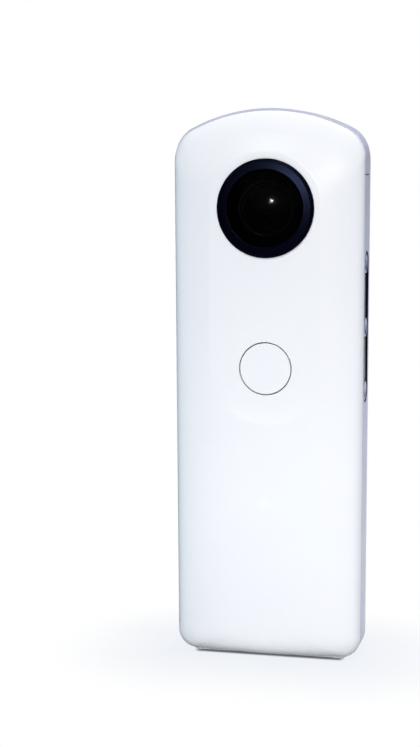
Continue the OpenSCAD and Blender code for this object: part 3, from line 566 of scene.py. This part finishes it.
def outer_skin(skin, bores):
    """Rings up the rounded edge and the net over the face; point numbers of the rim and of each bore"""
    rings = [outline(*ring_sizes(b)) for b in RISES]
    rows = []
    for b, ring in zip(RISES[:-1], rings[:-1]):
        y = RIM_Y + (face_y(ring[:, 1]) - RIM_Y) * b
        rows.append(skin.add(lifted(ring, y), ring_normals(ring, b)))
    flat, triangles, rim_row, bore_rows = face_net(rings[-1], bores)
    x, z = flat[:, 0], flat[:, 1]
    net = skin.add(lifted(flat, face(x, z)), face_normals(x, z))
    rows.append([net[i] for i in rim_row])
    for i, normal in zip(rows[-1], ring_normals(rings[-1], EDGE_RISE)):
        skin.normals[i] = tuple(normal)
    for low, high in zip(rows, rows[1:]):
        skin.faces += bridge(low, high)
    skin.faces += [tuple(net[i] for i in t) for t in triangles]
    return rows[0], [[net[i] for i in row] for row in bore_rows]


def inner_skin(skin):
    """Copy of the outer skin, one wall further in; says how much higher its point numbers are"""
    step = len(skin.points)
    normals = np.array(skin.normals)
    skin.add(np.array(skin.points) - WALL * normals, -normals)
    skin.faces += [tuple(step + i for i in f) for f in skin.faces]
    return step


def rounded_rim(skin, outer, inner):
    """Rounded rim and its flat beside the band, between the first rings of both skins"""
    lean = ring_normals(outline(*ring_sizes(0.0)), 0.0)
    last = outer
    for i in range(1, RIM_STEPS + 1):
        a = math.pi / 2 * i / RIM_STEPS
        inset = RIM * (1 - math.cos(a))
        ring = outline(HALF_W - inset, SHELL_TOP - inset, FOOT_Z + inset)
        normals = unit(lean * math.cos(a) - np.array([0, math.sin(a), 0]))
        row = skin.add(lifted(ring, RIM_Y - RIM * math.sin(a)), normals)
        skin.faces += bridge(last, row)
        last = row
    points = [(skin.points[i][0], SEAM_Y, skin.points[i][2]) for i in inner]
    flat = skin.add(points, [skin.normals[i] for i in inner])
    skin.faces += bridge(last, flat) + bridge(flat, inner)


def button_bore(skin, outer, inner):
    """Wall of the shutter's bore, with its outer edge rounded"""
    around = circle(1)
    last = outer
    for i in range(1, BORE_STEPS + 1):
        a = math.pi / 2 * i / BORE_STEPS
        ring = circle(BUTTON_BORE_R + BORE_ROUND * (1 - math.sin(a)), SHUTTER_Z)
        depth = FACET_Y - BORE_ROUND * (1 - math.cos(a))
        row = skin.add(lifted(ring, depth), lifted(-around * math.sin(a), math.cos(a)))
        skin.faces += bridge(last, row)
        last = row
    foot = skin.add(lifted(circle(BUTTON_BORE_R, SHUTTER_Z), FACET_Y - WALL), lifted(-around, 0))
    skin.faces += bridge(last, foot) + bridge(foot, inner)


def shell_mesh(name, side, with_button):
    """Half of the body on the given side of Y, and the normals that its points have by formula"""
    bores = [(LENS_BORE_R, LENS_Z)]
    if with_button:
        bores.append((BUTTON_BORE_R + BORE_ROUND, SHUTTER_Z))
    skin = Skin()
    rim, bore_rows = outer_skin(skin, bores)
    step = inner_skin(skin)
    rounded_rim(skin, rim, [step + i for i in rim])
    inner_rows = [[step + i for i in row] for row in bore_rows]
    skin.faces += bridge(bore_rows[0], inner_rows[0])
    if with_button:
        button_bore(skin, bore_rows[1], inner_rows[1])
    mirror = (1, side, 1)
    points, normals = np.array(skin.points) * mirror, np.array(skin.normals) * mirror
    recess = round_box(PLATE_W + 2 * SLIP, PLATE_D + 2 * SLIP, PLATE_CORNER + SLIP)
    mesh = cut(joined([mesh_of(name, points, skin.faces)]),
               prism_z("recess", recess, FOOT_Z - PAST, PLATE_SEAT))
    return mesh, {key_of(p): Vector(v) for p, v in zip(points, normals)}


def boss(side, z):
    """Screw boss, which carries the chassis"""
    x = side * (frame_x(z) - BOSS_R - BITE)
    root = inner_y(abs(x), z) + BITE
    hole_r = CHASSIS_SCREW_R + FIT
    profile = [(0, CHASSIS_SCREW_L), (hole_r, CHASSIS_SCREW_L), (hole_r, 0),
               (BOSS_R, 0), (BOSS_R, root), (0, root)]
    return lathe("boss", profile, lambda px, py, h: (x + px, -h, z + py), n=48)


def clip(side, z):
    """Clip, which reaches inside the lip of the side frame"""
    x_out = frame_x(z - CLIP_W / 2) - SLIP
    x_in = x_out - CLIP_T
    corners = rectangle(side * x_in, CLIP_Y, side * x_out, inner_y(x_in, z) + BITE)
    return prism_z("clip", corners, z - CLIP_W / 2, z + CLIP_W / 2)


# Profiles of the lens group

def ring_profile():
    seal_in, seal_out = SEAL_R - SEAL_W / 2, SEAL_R + SEAL_W / 2
    return rounded([
        (GLASS_R + FIT, RING_H, SOFT), (RING_R - RING_BEVEL_IN, RING_BEVEL_H, BEVEL_ROUND),
        (RING_R, RING_RIM_H, RIM_ROUND), (RING_R, 0, RING_FOOT_ROUND),
        (seal_out, 0, 0), (seal_out, SEAL_T, 0), (seal_in, SEAL_T, 0), (seal_in, 0, 0),
        (SPIGOT_R, 0, 0), (SPIGOT_R, -WALL, SOFT), (LENS_R + FIT, -WALL, SOFT),
        (LENS_R + FIT, LENS_SEAT_H, 0), (GLASS_R + FIT, LENS_SEAT_H, FINE)])


def dome_profile():
    top = DOME_RISE - DOME_T
    depth = top - LENS_BACK_H
    curve = (HOLLOW_R ** 2 + depth ** 2) / (2 * depth)
    flange = rounded([
        (GLASS_R, LENS_SEAT_H, 0), (LENS_R, LENS_SEAT_H, FINE),
        (LENS_R, LENS_BACK_H, FINE), (HOLLOW_R, LENS_BACK_H, 0)], steps=2)
    return (sphere_line(0, GLASS_R - DOME_BEVEL, DOME_RISE, DOME_R, n=40) + [(GLASS_R, DOME_BEVEL_H)]
            + flange + sphere_line(HOLLOW_R, 0, top, curve, n=30)[1:])


BARREL_BACK = OPTICS_Y - FACET_Y
SECOND_LOW = BARREL_BACK + SECOND_LIP_T
SECOND_HIGH = SECOND_LOW + SECOND_EDGE


def barrel_profile():
    return rounded([
        (HOLLOW_R + FIT, LENS_BACK_H, FINE), (LENS_R, LENS_BACK_H, 0), (LENS_R, BARREL_BACK, SOFT),
        (SECOND_R - SECOND_LIP, BARREL_BACK, FINE), (SECOND_R - SECOND_LIP, SECOND_LOW, FINE),
        (SECOND_R + FIT, SECOND_LOW, 0), (SECOND_R + FIT, SECOND_HIGH, FINE),
        (HOLLOW_R + FIT, SECOND_HIGH + FIT, FINE)])


def trim_profile():
    """Thin glossy ring in the mouth of the barrel, right behind the dome"""
    r, h = HOLLOW_R + FIT + TRIM_BITE - TRIM_WIRE, LENS_BACK_H - TRIM_BITE - TRIM_WIRE
    return arc(r, h, TRIM_WIRE, 0, 2 * math.pi, n=16)[:-1]


def second_profile():
    rim_r = dish_reach(SECOND_HOLLOW_R, SECOND_EDGE - SECOND_T)
    return sphere_line(0, rim_r, SECOND_LOW + SECOND_T, -SECOND_HOLLOW_R, n=24)[:-1] + rounded([
        (rim_r, SECOND_HIGH, 0), (SECOND_R, SECOND_HIGH, SOFT),
        (SECOND_R, SECOND_LOW, SOFT), (0, SECOND_LOW, 0)])


# Profiles of the buttons and the bush

def button_profile():
    tip_h = -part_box("shutter_button")[1].y / MM - FACET_Y
    flange_r, flange_h = SHUTTER_R + CAP_FLANGE_RIM, -WALL - PRESS_GAP
    return rounded([
        (0, 0, 0), (SHUTTER_R, 0, BUTTON_ROUND), (SHUTTER_R, flange_h, 0), (flange_r, flange_h, FINE),
        (flange_r, flange_h - CAP_FLANGE, FINE), (SHUTTER_STEM_R, flange_h - CAP_FLANGE, 0),
        (SHUTTER_STEM_R, tip_h, SOFT), (0, tip_h, 0)])


def key_profile(node, z):
    """Dished key; the one with the lamp in it has a hole through it"""
    back_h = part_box(node)[0].x / MM - side_x(z)
    hole_r = LAMP_R + FIT if node == "power_button" else 0
    dish_r = dish_reach(KEY_DISH_R, KEY_DISH)
    flange_r, flange_h = KEY_R + KEY_FLANGE_RIM, -WALL - LIP_T - PRESS_GAP
    return sphere_line(hole_r, dish_r, -KEY_SINK - KEY_DISH, -KEY_DISH_R, n=10)[:-1] + rounded([
        (dish_r, -KEY_SINK, 0), (KEY_R, -KEY_SINK, KEY_ROUND), (KEY_R, flange_h, 0),
        (flange_r, flange_h, FINE), (flange_r, flange_h - KEY_FLANGE_T, FINE),
        (KEY_STEM_R, flange_h - KEY_FLANGE_T, 0),
        (KEY_STEM_R, back_h, FINE), (hole_r, back_h, 0)])


def thread_radius(h):
    """Radius of the thread at height h, as a function of the angle"""
    def radius(a):
        turn = (h / THREAD_PITCH - a / (2 * math.pi)) % 1
        flank = (1 - THREAD_FLAT - abs(2 * turn - 1)) / (1 - 2 * THREAD_FLAT)
        return THREAD_R + (THREAD_OUT - THREAD_R) * min(1, max(0, flank))
    return radius


def bush_profile():
    low, high = (corner.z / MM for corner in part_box("tripod_bush"))
    flange_top = INNER_FLOOR + BUSH_FLANGE_T
    start, end = low + THREAD_LEAD, low + THREAD_L
    heights = (start + (end - start) * i / THREAD_ROWS for i in range(THREAD_ROWS))
    return ([(0, high), (BUSH_BODY_R, high), (BUSH_BODY_R, flange_top), (BUSH_FLANGE_R, flange_top),
             (BUSH_FLANGE_R, INNER_FLOOR), (BUSH_NOSE_R, INNER_FLOOR), (BUSH_NOSE_R, low),
             (BUSH_NOSE_R - BUSH_LIP, low)]
            + [(thread_radius(h), h) for h in heights] + [(THREAD_R, end), (0, end + THREAD_TIP)])


# Materials

def linear(colour):
    """Screen colour of 0 to 255 as a linear one"""
    out = [c / 12.92 if c <= 0.04045 else ((c + 0.055) / 1.055) ** 2.4 for c in (v / 255 for v in colour)]
    return (*out, 1.0)


class Look:
    """A principled material and helpers for its nodes"""

    def __init__(self, name, **sockets):
        self.name = name
        self.mat = bpy.data.materials.new(name)
        self.mat.use_nodes = True
        self.nodes = self.mat.node_tree.nodes
        self.links = self.mat.node_tree.links
        self.bsdf = self.nodes["Principled BSDF"]
        for key, value in sockets.items():
            self.bsdf.inputs[key.replace("_", " ")].default_value = value
        self.coords = self.nodes.new("ShaderNodeTexCoord").outputs["Object"]

    def axes(self):
        node = self.nodes.new("ShaderNodeSeparateXYZ")
        self.links.new(self.coords, node.inputs[0])
        return node.outputs

    def noise(self, cell, detail=3.0, rough=0.55):
        """Noise with cells of a size in millimetres"""
        node = self.nodes.new("ShaderNodeTexNoise")
        node.inputs["Scale"].default_value = 1 / (cell * MM)
        node.inputs["Detail"].default_value = detail
        node.inputs["Roughness"].default_value = rough
        self.links.new(self.coords, node.inputs["Vector"])
        return node.outputs["Fac"]

    def spread(self, value, low, high, start=0.3, end=0.7, smooth=False):
        """The range from start to end, mapped to low to high"""
        node = self.nodes.new("ShaderNodeMapRange")
        node.interpolation_type = "SMOOTHSTEP" if smooth else "LINEAR"
        for key, v in zip(("From Min", "From Max", "To Min", "To Max"), (start, end, low, high)):
            node.inputs[key].default_value = v
        self.links.new(value, node.inputs["Value"])
        return node.outputs["Result"]

    def mix(self, share, a, b):
        node = self.nodes.new("ShaderNodeMix")
        node.data_type = "RGBA"
        inputs = [s for s in node.inputs if s.type == "RGBA"]
        for socket, v in zip(inputs, (a, b)):
            if isinstance(v, tuple):
                socket.default_value = v
            else:
                self.links.new(v, socket)
        self.links.new(share, node.inputs[0])
        return [s for s in node.outputs if s.type == "RGBA"][0]

    def calc(self, operation, *values):
        node = self.nodes.new("ShaderNodeMath")
        node.operation = operation
        for socket, v in zip(node.inputs, values):
            if isinstance(v, (int, float)):
                socket.default_value = v
            else:
                self.links.new(v, socket)
        return node.outputs[0]

    def length(self, *sides):
        """Length of the diagonal over two sides"""
        return self.calc("SQRT", self.calc("ADD", *(self.calc("MULTIPLY", v, v) for v in sides)))

    def colour(self, value):
        self.links.new(value, self.bsdf.inputs["Base Color"])

    def rough(self, value):
        self.links.new(value, self.bsdf.inputs["Roughness"])

    def bump(self, value, height, strength=1.0):
        node = self.nodes.new("ShaderNodeBump")
        node.inputs["Strength"].default_value = strength
        node.inputs["Distance"].default_value = height * MM
        self.links.new(value, node.inputs["Height"])
        self.links.new(node.outputs["Normal"], self.bsdf.inputs["Normal"])


# Cells of the roughness, counted in grains
ROUGH_GRAINS = 6


def plain(name, dark, light, rough, vary=0.05, cell=6.0, grain=0.12, height=0.002, **sockets):
    """Surface whose colour runs between two tones, with fine grain"""
    look = Look(name, **sockets)
    tone = look.spread(look.noise(cell), 0, 1)
    look.colour(look.mix(tone, linear(dark), linear(light)))
    look.rough(look.spread(look.noise(grain * ROUGH_GRAINS), rough - vary, rough + vary))
    look.bump(look.noise(grain, detail=2.0), height)
    return look


shell_look = plain("shell_white", (244, 247, 251), (246, 249, 252), rough=0.34, vary=0.03, cell=22,
                   grain=0.09, height=0.0012)
button_look = plain("button_white", (244, 247, 251), (246, 249, 252), rough=0.32, vary=0.03, cell=9,
                    grain=0.09, height=0.0012)
base_look = plain("base_white", (222, 226, 232), (229, 232, 237), rough=0.5, cell=8, grain=0.15,
                  height=0.004)
band_look = plain("band_grey", (196, 199, 219), (204, 207, 226), rough=0.34, cell=10, grain=0.11,
                  height=0.0025)
strip_look = plain("strip_black", (14, 16, 24), (20, 23, 33), rough=0.1, vary=0.03, grain=0.3,
                   height=0.0004)
lamp_look = plain("lamp", (196, 214, 236), (222, 232, 246), rough=0.2, cell=0.6, grain=0.1, height=0.001,
                  Transmission_Weight=0.3)
plunger_look = plain("plunger", (44, 44, 48), (54, 54, 58), rough=0.55, cell=1, grain=0.1, height=0.003)
seal_look = plain("seal_rubber", (28, 28, 29), (36, 36, 37), rough=0.75, cell=2, grain=0.1, height=0.004)
black_look = plain("optics_black", (2, 2, 3), (5, 5, 6), rough=0.65, cell=2, height=0.004,
                   Specular_IOR_Level=0.15)
trim_look = plain("lens_trim", (36, 35, 32), (44, 43, 39), rough=0.15, vary=0.02, cell=1, grain=0.1,
                  height=0.0002)
chip_look = plain("chip_dark", (34, 36, 40), (44, 46, 52), rough=0.5, cell=1.5, grain=0.08, height=0.003)
cable_look = plain("flat_cable", (168, 106, 40), (190, 124, 52), rough=0.38, cell=1.2, grain=0.2)
cell_look = plain("cell_wrap", (96, 102, 114), (112, 118, 130), rough=0.42, cell=5, grain=0.5, height=0.01)
board_look = plain("board", (20, 92, 62), (28, 108, 72), rough=0.42, cell=1, grain=0.15, height=0.003)
chassis_look = plain("chassis_metal", (168, 170, 174), (186, 188, 192), rough=0.38, cell=3, Metallic=1.0)
shield_look = plain("shield_metal", (186, 187, 190), (204, 204, 208), rough=0.32, cell=2, grain=0.1,
                    height=0.0015, Metallic=1.0)
brass_look = plain("bush_brass", (190, 156, 92), (208, 176, 110), rough=0.28, cell=1.5, grain=0.1,
                   Metallic=1.0)
screw_look = plain("screw_steel", (128, 128, 132), (150, 150, 154), rough=0.34, cell=0.8, grain=0.08,
                   Metallic=1.0)


def ring_material():
    """Black with a fine texture that glints blue"""
    look = Look("ring_black", Specular_IOR_Level=0.42, Specular_Tint=(0.37, 0.47, 1.0, 1))
    cells = look.nodes.new("ShaderNodeTexVoronoi")
    cells.inputs["Scale"].default_value = 1 / (0.2 * MM)
    look.links.new(look.coords, cells.inputs["Vector"])
    fleck = look.spread(cells.outputs["Distance"], 1, 0, start=0.05, end=0.45)
    look.colour(look.mix(fleck, linear((0, 0, 3)), linear((1, 1, 7))))
    look.rough(look.spread(look.noise(0.5), 0.28, 0.34))
    look.bump(cells.outputs["Distance"], height=0.018, strength=0.7)
    return look


def key_material():
    """Metal turned in circles round the X axis"""
    look = Look("key_metal", Metallic=1.0, Anisotropic=0.75)
    axis = look.nodes.new("ShaderNodeTangent")
    axis.direction_type, axis.axis = "RADIAL", "X"
    look.links.new(axis.outputs["Tangent"], look.bsdf.inputs["Tangent"])
    tone = look.spread(look.noise(1.2), 0, 1)
    look.colour(look.mix(tone, linear((198, 202, 216)), linear((214, 217, 230))))
    look.rough(look.spread(look.noise(0.3), 0.18, 0.26))
    look.bump(look.noise(0.08), height=0.001)
    return look


def glass_material(name, shade, tint, ior, specular_tint=(1, 1, 1, 1)):
    look = Look(name, Transmission_Weight=1.0, IOR=ior, Specular_Tint=specular_tint)
    tone = look.spread(look.noise(4), 0, 1)
    look.colour(look.mix(tone, linear(shade), linear(tint)))
    look.rough(look.spread(look.noise(1.5), 0.09, 0.1))
    look.bump(look.noise(12, detail=0.0), height=0.00005, strength=0.1)
    return look


ring_look = ring_material()
key_look = key_material()
dome_look = glass_material("dome_glass", (228, 230, 238), (232, 234, 242), ior=1.18)
inner_look = glass_material("inner_glass", (76, 64, 78), (80, 68, 82), ior=1.06,
                            specular_tint=(1.0, 0.45, 0.4, 1))

# Painted light: a faint glow painted on the front, where a lamp shines through the shell
PAINTED_GLOW_Z, PAINTED_GLOW_R, PAINTED_GLOW_TONE = 38.0, 2.0, (248, 251, 253)


def add_painted_lamp_glow(look):
    x, y, z = look.axes()
    away = look.length(x, look.calc("SUBTRACT", z, PAINTED_GLOW_Z * MM))
    painted_glow = look.spread(away, 1, 0, start=PAINTED_GLOW_R / 2 * MM, end=PAINTED_GLOW_R * MM, smooth=True)
    front = look.calc("LESS_THAN", y, 0)
    tone = look.bsdf.inputs["Base Color"].links[0].from_socket
    # Painted light: a lighter disc of colour on the front stands in for the lamp's glow
    look.colour(look.mix(look.calc("MULTIPLY", painted_glow, front), tone, linear(PAINTED_GLOW_TONE)))


add_painted_lamp_glow(shell_look)

# Shells with what is moulded on inside
for node, side, with_button, moulded, heights in (
        ("front_shell", -1, True, boss, BOSS_ZS), ("rear_shell", 1, False, clip, CLIP_ZS)):
    mesh, known = shell_mesh(node + "_skin", side, with_button)
    mesh = joined([mesh] + [moulded(x, z) for x in (-1, 1) for z in heights])
    finish_mesh(node + "_skin", mesh, shell_look, "camera", [node], known=known)

# Band, base, strip and socket, with the width of their edge roundings
for node, width, look in (
        ("side_frame", 0.09, band_look), ("top_cap", 0.09, band_look), ("base_plate", 0.12, base_look),
        ("control_strip", 0.05, strip_look), ("charging_socket", 0.06, shield_look)):
    finish_mesh(node + "_form", softened(node, width), look, "camera", [node])

# Lens groups
for end, put in (("front", on_front(LENS_Z)), ("rear", on_rear(LENS_Z))):
    for form, profile, n, look, slot, nodes in (
            ("ring", ring_profile(), 160, ring_look, "ring_black", [end + "_lens_ring"]),
            ("dome", dome_profile(), 128, dome_look, "dome_glass", [end + "_dome_lens"]),
            ("barrel", barrel_profile(), 128, black_look, "optics_black", [end + "_lens_barrel"]),
            ("trim", trim_profile(), 160, trim_look, "optics_black", []),
            ("second", second_profile(), 96, inner_look, "inner_glass", [end + "_second_lens"])):
        mesh = lathe(f"{end}_{form}", profile, put, n)
        finish_mesh(f"{end}_{form}_form", mesh, look, "camera", nodes)

# Buttons
finish_mesh("shutter_form", lathe("shutter", button_profile(), on_front(SHUTTER_Z), n=128),
            button_look, "shutter", ["shutter_button"])
for key, z in zip(("power", "wireless", "mode"), KEY_ZS):
    node = key + "_button"
    mesh = lathe(node, key_profile(node, z), on_side(z), n=72)
    finish_mesh(key + "_key_form", mesh, key_look, key + "_key", [node])

# Tripod bush with its thread
bush = lathe("bush", bush_profile(), upright, n=72)
finish_mesh("bush_form", bush, brass_look, "camera", ["tripod_bush"])

# Base screws with cross recesses in their heads
screws = softened("base_screws", 0.06)
low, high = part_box("base_screws")
head_z, screw_x = low.z / MM, high.x / MM - BASE_SCREW_HEAD_R
for x in (-screw_x, screw_x):
    for w, d in ((CROSS_L, CROSS_W), (CROSS_W, CROSS_L)):
        slot_corners = rectangle(x - w / 2, -d / 2, x + w / 2, d / 2)
        screws = cut(screws, prism_z("slot", slot_corners, head_z - PAST, head_z + CROSS_DEPTH))
finish_mesh("base_screw_forms", screws, screw_look, "camera", ["base_screws"])

# Materials of the CAD meshes that stay
by_slot = {look.name: look for look in (
    lamp_look, plunger_look, seal_look, black_look, chip_look, cable_look, cell_look, board_look,
    chassis_look, shield_look, brass_look, screw_look, inner_look, key_look)}
for part in frame["record"]["subparts"]:
    look = by_slot.get(part["material_slot"])
    if look:
        dress(frame["nodes"][part["node"]], look)

# Floor: white outside the shadow, with painted shade round the camera; reflections see a painted glow, dim
# in front of the camera and bright behind it
FLOOR_TONE, FLOOR_R, FLOOR_NEAR, FLOOR_DROP = (150, 151, 155), 4000, 200, 0.02
# Painted shade: the bluish tone that the floor shows the camera round the foot, fading to white
WHITE, PAINTED_SHADE_TONE = (1, 1, 1, 1), (0.93, 0.955, 1, 1)
# Painted reflection: colours the floor glows in for reflection rays only, dark in front, pale behind and
# bluish far off
PAINTED_FRONT_REFLECTION, PAINTED_REAR_REFLECTION, PAINTED_FAR_REFLECTION = (0.05, 0.05, 0.09, 1), (0.85, 0.85, 0.88, 1), (0.3, 0.33, 0.48, 1)
# Reaches round the foot, in millimetres, of the grey lit floor and of the painted shade
SHADOW_CORE, CONTACT, SHADE = (17.0, 4.2), 1.7, 40.0
CONTACT_SHARE, SHADE_SHARE = 0.1, 0.9
FAR_FROM, FAR_TO, FRONT_TO_REAR = 100, 900, 30


def floor_material():
    """White floor that keeps the lamps' shadow near the camera, deepened there by painted shade, and shows
    reflections a painted glow
    """
    look = Look("floor", Roughness=0.9, Specular_IOR_Level=0.1, Base_Color=linear(FLOOR_TONE))
    path = look.nodes.new("ShaderNodeLightPath").outputs
    mirrored = look.calc("MAXIMUM", path["Is Glossy Ray"], path["Is Transmission Ray"])
    seen = look.calc("MAXIMUM", path["Is Camera Ray"], mirrored)
    x, y, _ = look.axes()
    over = [look.calc("MAXIMUM", 0, look.calc("SUBTRACT", look.calc("ABSOLUTE", axis), half * MM))
            for axis, half in zip((x, y), SHADOW_CORE)]
    reach = look.length(*over)
    # Near the foot the camera sees the grey lit floor: real shadow, deepened by painted shade
    contact = look.spread(reach, CONTACT_SHARE, 1, start=0, end=CONTACT * MM, smooth=True)
    clear = look.spread(reach, 0, 1, start=0, end=SHADE * MM, smooth=True)
    share = look.calc("MULTIPLY", contact, look.spread(clear, SHADE_SHARE, 1, start=0, end=1))
    # Painted reflection: the glow that reflection rays see, dark in front and pale behind, bluish far off
    far = look.spread(reach, 0, 1, start=FAR_FROM * MM, end=FAR_TO * MM)
    rear = look.mix(far, PAINTED_REAR_REFLECTION, PAINTED_FAR_REFLECTION)
    behind = look.spread(y, 0, 1, start=-FRONT_TO_REAR * MM, end=FRONT_TO_REAR * MM)
    # Camera rays see white or the painted bluish shade near the foot; reflection rays see the painted
    # reflection colours
    glow = look.nodes.new("ShaderNodeEmission")
    look.links.new(look.mix(path["Is Camera Ray"], look.mix(behind, PAINTED_FRONT_REFLECTION, rear),
                            look.mix(clear, PAINTED_SHADE_TONE, WHITE)), glow.inputs["Color"])
    blend = look.nodes.new("ShaderNodeMixShader")
    look.links.new(look.calc("MULTIPLY", seen, share), blend.inputs[0])
    look.links.new(look.bsdf.outputs[0], blend.inputs[1])
    look.links.new(glow.outputs[0], blend.inputs[2])
    look.links.new(blend.outputs[0], look.nodes["Material Output"].inputs["Surface"])
    return look


floor = linked("floor", lathe("floor", [(0, 0), (FLOOR_NEAR, 0), (FLOOR_R, 0)], upright, n=64))
floor.location.z = -FLOOR_DROP * MM
dress(floor, floor_material())

# Height that the lamps and the view are aimed at
MIDDLE_Z = 65.0

# Light: places and sizes in metres, power in watts
WARM, FLASH_TONE, BLUE_GLOW = (1.0, 0.98, 0.975), (1.0, 0.985, 0.985), (0.16, 0.75, 1.0)


def softbox(name, at, size, power, colour=(1, 1, 1), mirrored=False):
    """Lamp aimed at the camera's middle; one that isn't mirrored only lights, and shows in no reflection"""
    lamp = bpy.data.lights.new(name, "AREA")
    lamp.shape, lamp.size, lamp.size_y = "RECTANGLE", size[0], size[1]
    lamp.energy, lamp.color = power, colour
    obj = linked(name, lamp)
    obj.location = at
    obj.rotation_euler = (Vector((0, 0, MIDDLE_Z * MM)) - Vector(at)).to_track_quat("-Z", "Y").to_euler()
    obj.visible_camera = obj.visible_transmission = False
    obj.visible_glossy = mirrored


# Main light on the front, light that the table throws up at the foot, and a small lamp that the dome mirrors
softbox("key", at=(-0.1, -0.9, 0.9), size=(0.5, 0.4), power=7.3, colour=WARM)
softbox("table", at=(0.0, -0.12, 0.015), size=(0.2, 0.02), power=0.053, colour=WARM)
softbox("flash", at=(0.02, -1.1, 0.30), size=(0.05, 0.05), power=2.6, colour=FLASH_TONE, mirrored=True)
# Ceiling light on the arch and the floor, light low on the right side, and light on the band from behind
softbox("top", at=(0.25, 0.15, 1.15), size=(0.9, 0.7), power=7.5, mirrored=True)
softbox("right", at=(0.2, 0.01, 0.03), size=(0.06, 0.04), power=0.06)
softbox("rear", at=(0.35, 0.8, 0.4), size=(0.5, 0.4), power=4.8)

# A second, dark camera stands on the left in the photograph: a dark card out of sight, with a faint glow
NEIGHBOUR_X, NEIGHBOUR_FRONT, NEIGHBOUR_REAR, NEIGHBOUR_FOOT = -34.0, -42.0, 20.0, 0.1
GLOW_GAP, GLOW_Y = 1.0, -3.0
card_outline = rectangle(NEIGHBOUR_FRONT, NEIGHBOUR_FOOT, NEIGHBOUR_REAR, BODY_H)
card_points = [(NEIGHBOUR_X, y, z) for y, z in card_outline]
card = linked("neighbour", mesh_of("neighbour", card_points, [(0, 1, 2, 3)]))
dress(card, plain("neighbour", (22, 27, 48), (30, 36, 60), rough=0.5, cell=10))
card.visible_camera = False
softbox("neighbour_glow", at=((NEIGHBOUR_X + GLOW_GAP) * MM, GLOW_Y * MM, MIDDLE_Z * MM),
        size=(0.046, 0.12), power=0.0035, colour=BLUE_GLOW)

# Sky: a weak blue light, seen as plain white
SKY_TONE, SKY_STRENGTH = (0.78, 0.87, 1.0, 1), 0.14


def add_sky():
    world = bpy.data.worlds.new("world")
    bpy.context.scene.world = world
    world.use_nodes = True
    nodes, links = world.node_tree.nodes, world.node_tree.links
    sky = nodes["Background"]
    sky.inputs["Color"].default_value = SKY_TONE
    sky.inputs["Strength"].default_value = SKY_STRENGTH
    seen = nodes.new("ShaderNodeBackground")
    seen.inputs["Color"].default_value = WHITE
    path = nodes.new("ShaderNodeLightPath")
    blend = nodes.new("ShaderNodeMixShader")
    links.new(path.outputs["Is Camera Ray"], blend.inputs[0])
    links.new(sky.outputs[0], blend.inputs[1])
    links.new(seen.outputs[0], blend.inputs[2])
    links.new(blend.outputs[0], nodes["World Output"].inputs["Surface"])


add_sky()

# The photograph's view: turn, height, distance, focal length and shift fitted to its outlines
YAW, PITCH, ROLL = math.radians(13.73), math.radians(7.20), math.radians(-0.22)
DISTANCE, SHIFT_X, SHIFT_Z = 394.6, -14.93, 2.95
FOCAL_PX, PHOTO_H_PX, SENSOR_H = 1648.1, 747, 36
NEAREST = 10


def add_camera():
    back = Vector((math.sin(YAW) * math.cos(PITCH), -math.cos(YAW) * math.cos(PITCH), math.sin(PITCH)))
    level = Vector((math.cos(YAW), math.sin(YAW), 0))
    steep = back.cross(level)
    right = level * math.cos(ROLL) + steep * math.sin(ROLL)
    up = steep * math.cos(ROLL) - level * math.sin(ROLL)
    eye = (Vector((0, 0, MIDDLE_Z)) + right * SHIFT_X + up * SHIFT_Z + back * DISTANCE) * MM
    camera = bpy.data.cameras.new("camera")
    camera.sensor_fit, camera.sensor_height = "VERTICAL", SENSOR_H
    camera.lens = FOCAL_PX * SENSOR_H / PHOTO_H_PX
    camera.clip_start = NEAREST * MM
    viewer = linked("viewer", camera)
    columns = Matrix((right, up, back)).transposed().to_4x4()
    viewer.matrix_world = Matrix.Translation(eye) @ columns
    bpy.context.scene.camera = viewer


add_camera()
bpy.context.scene.view_settings.view_transform = "Standard"
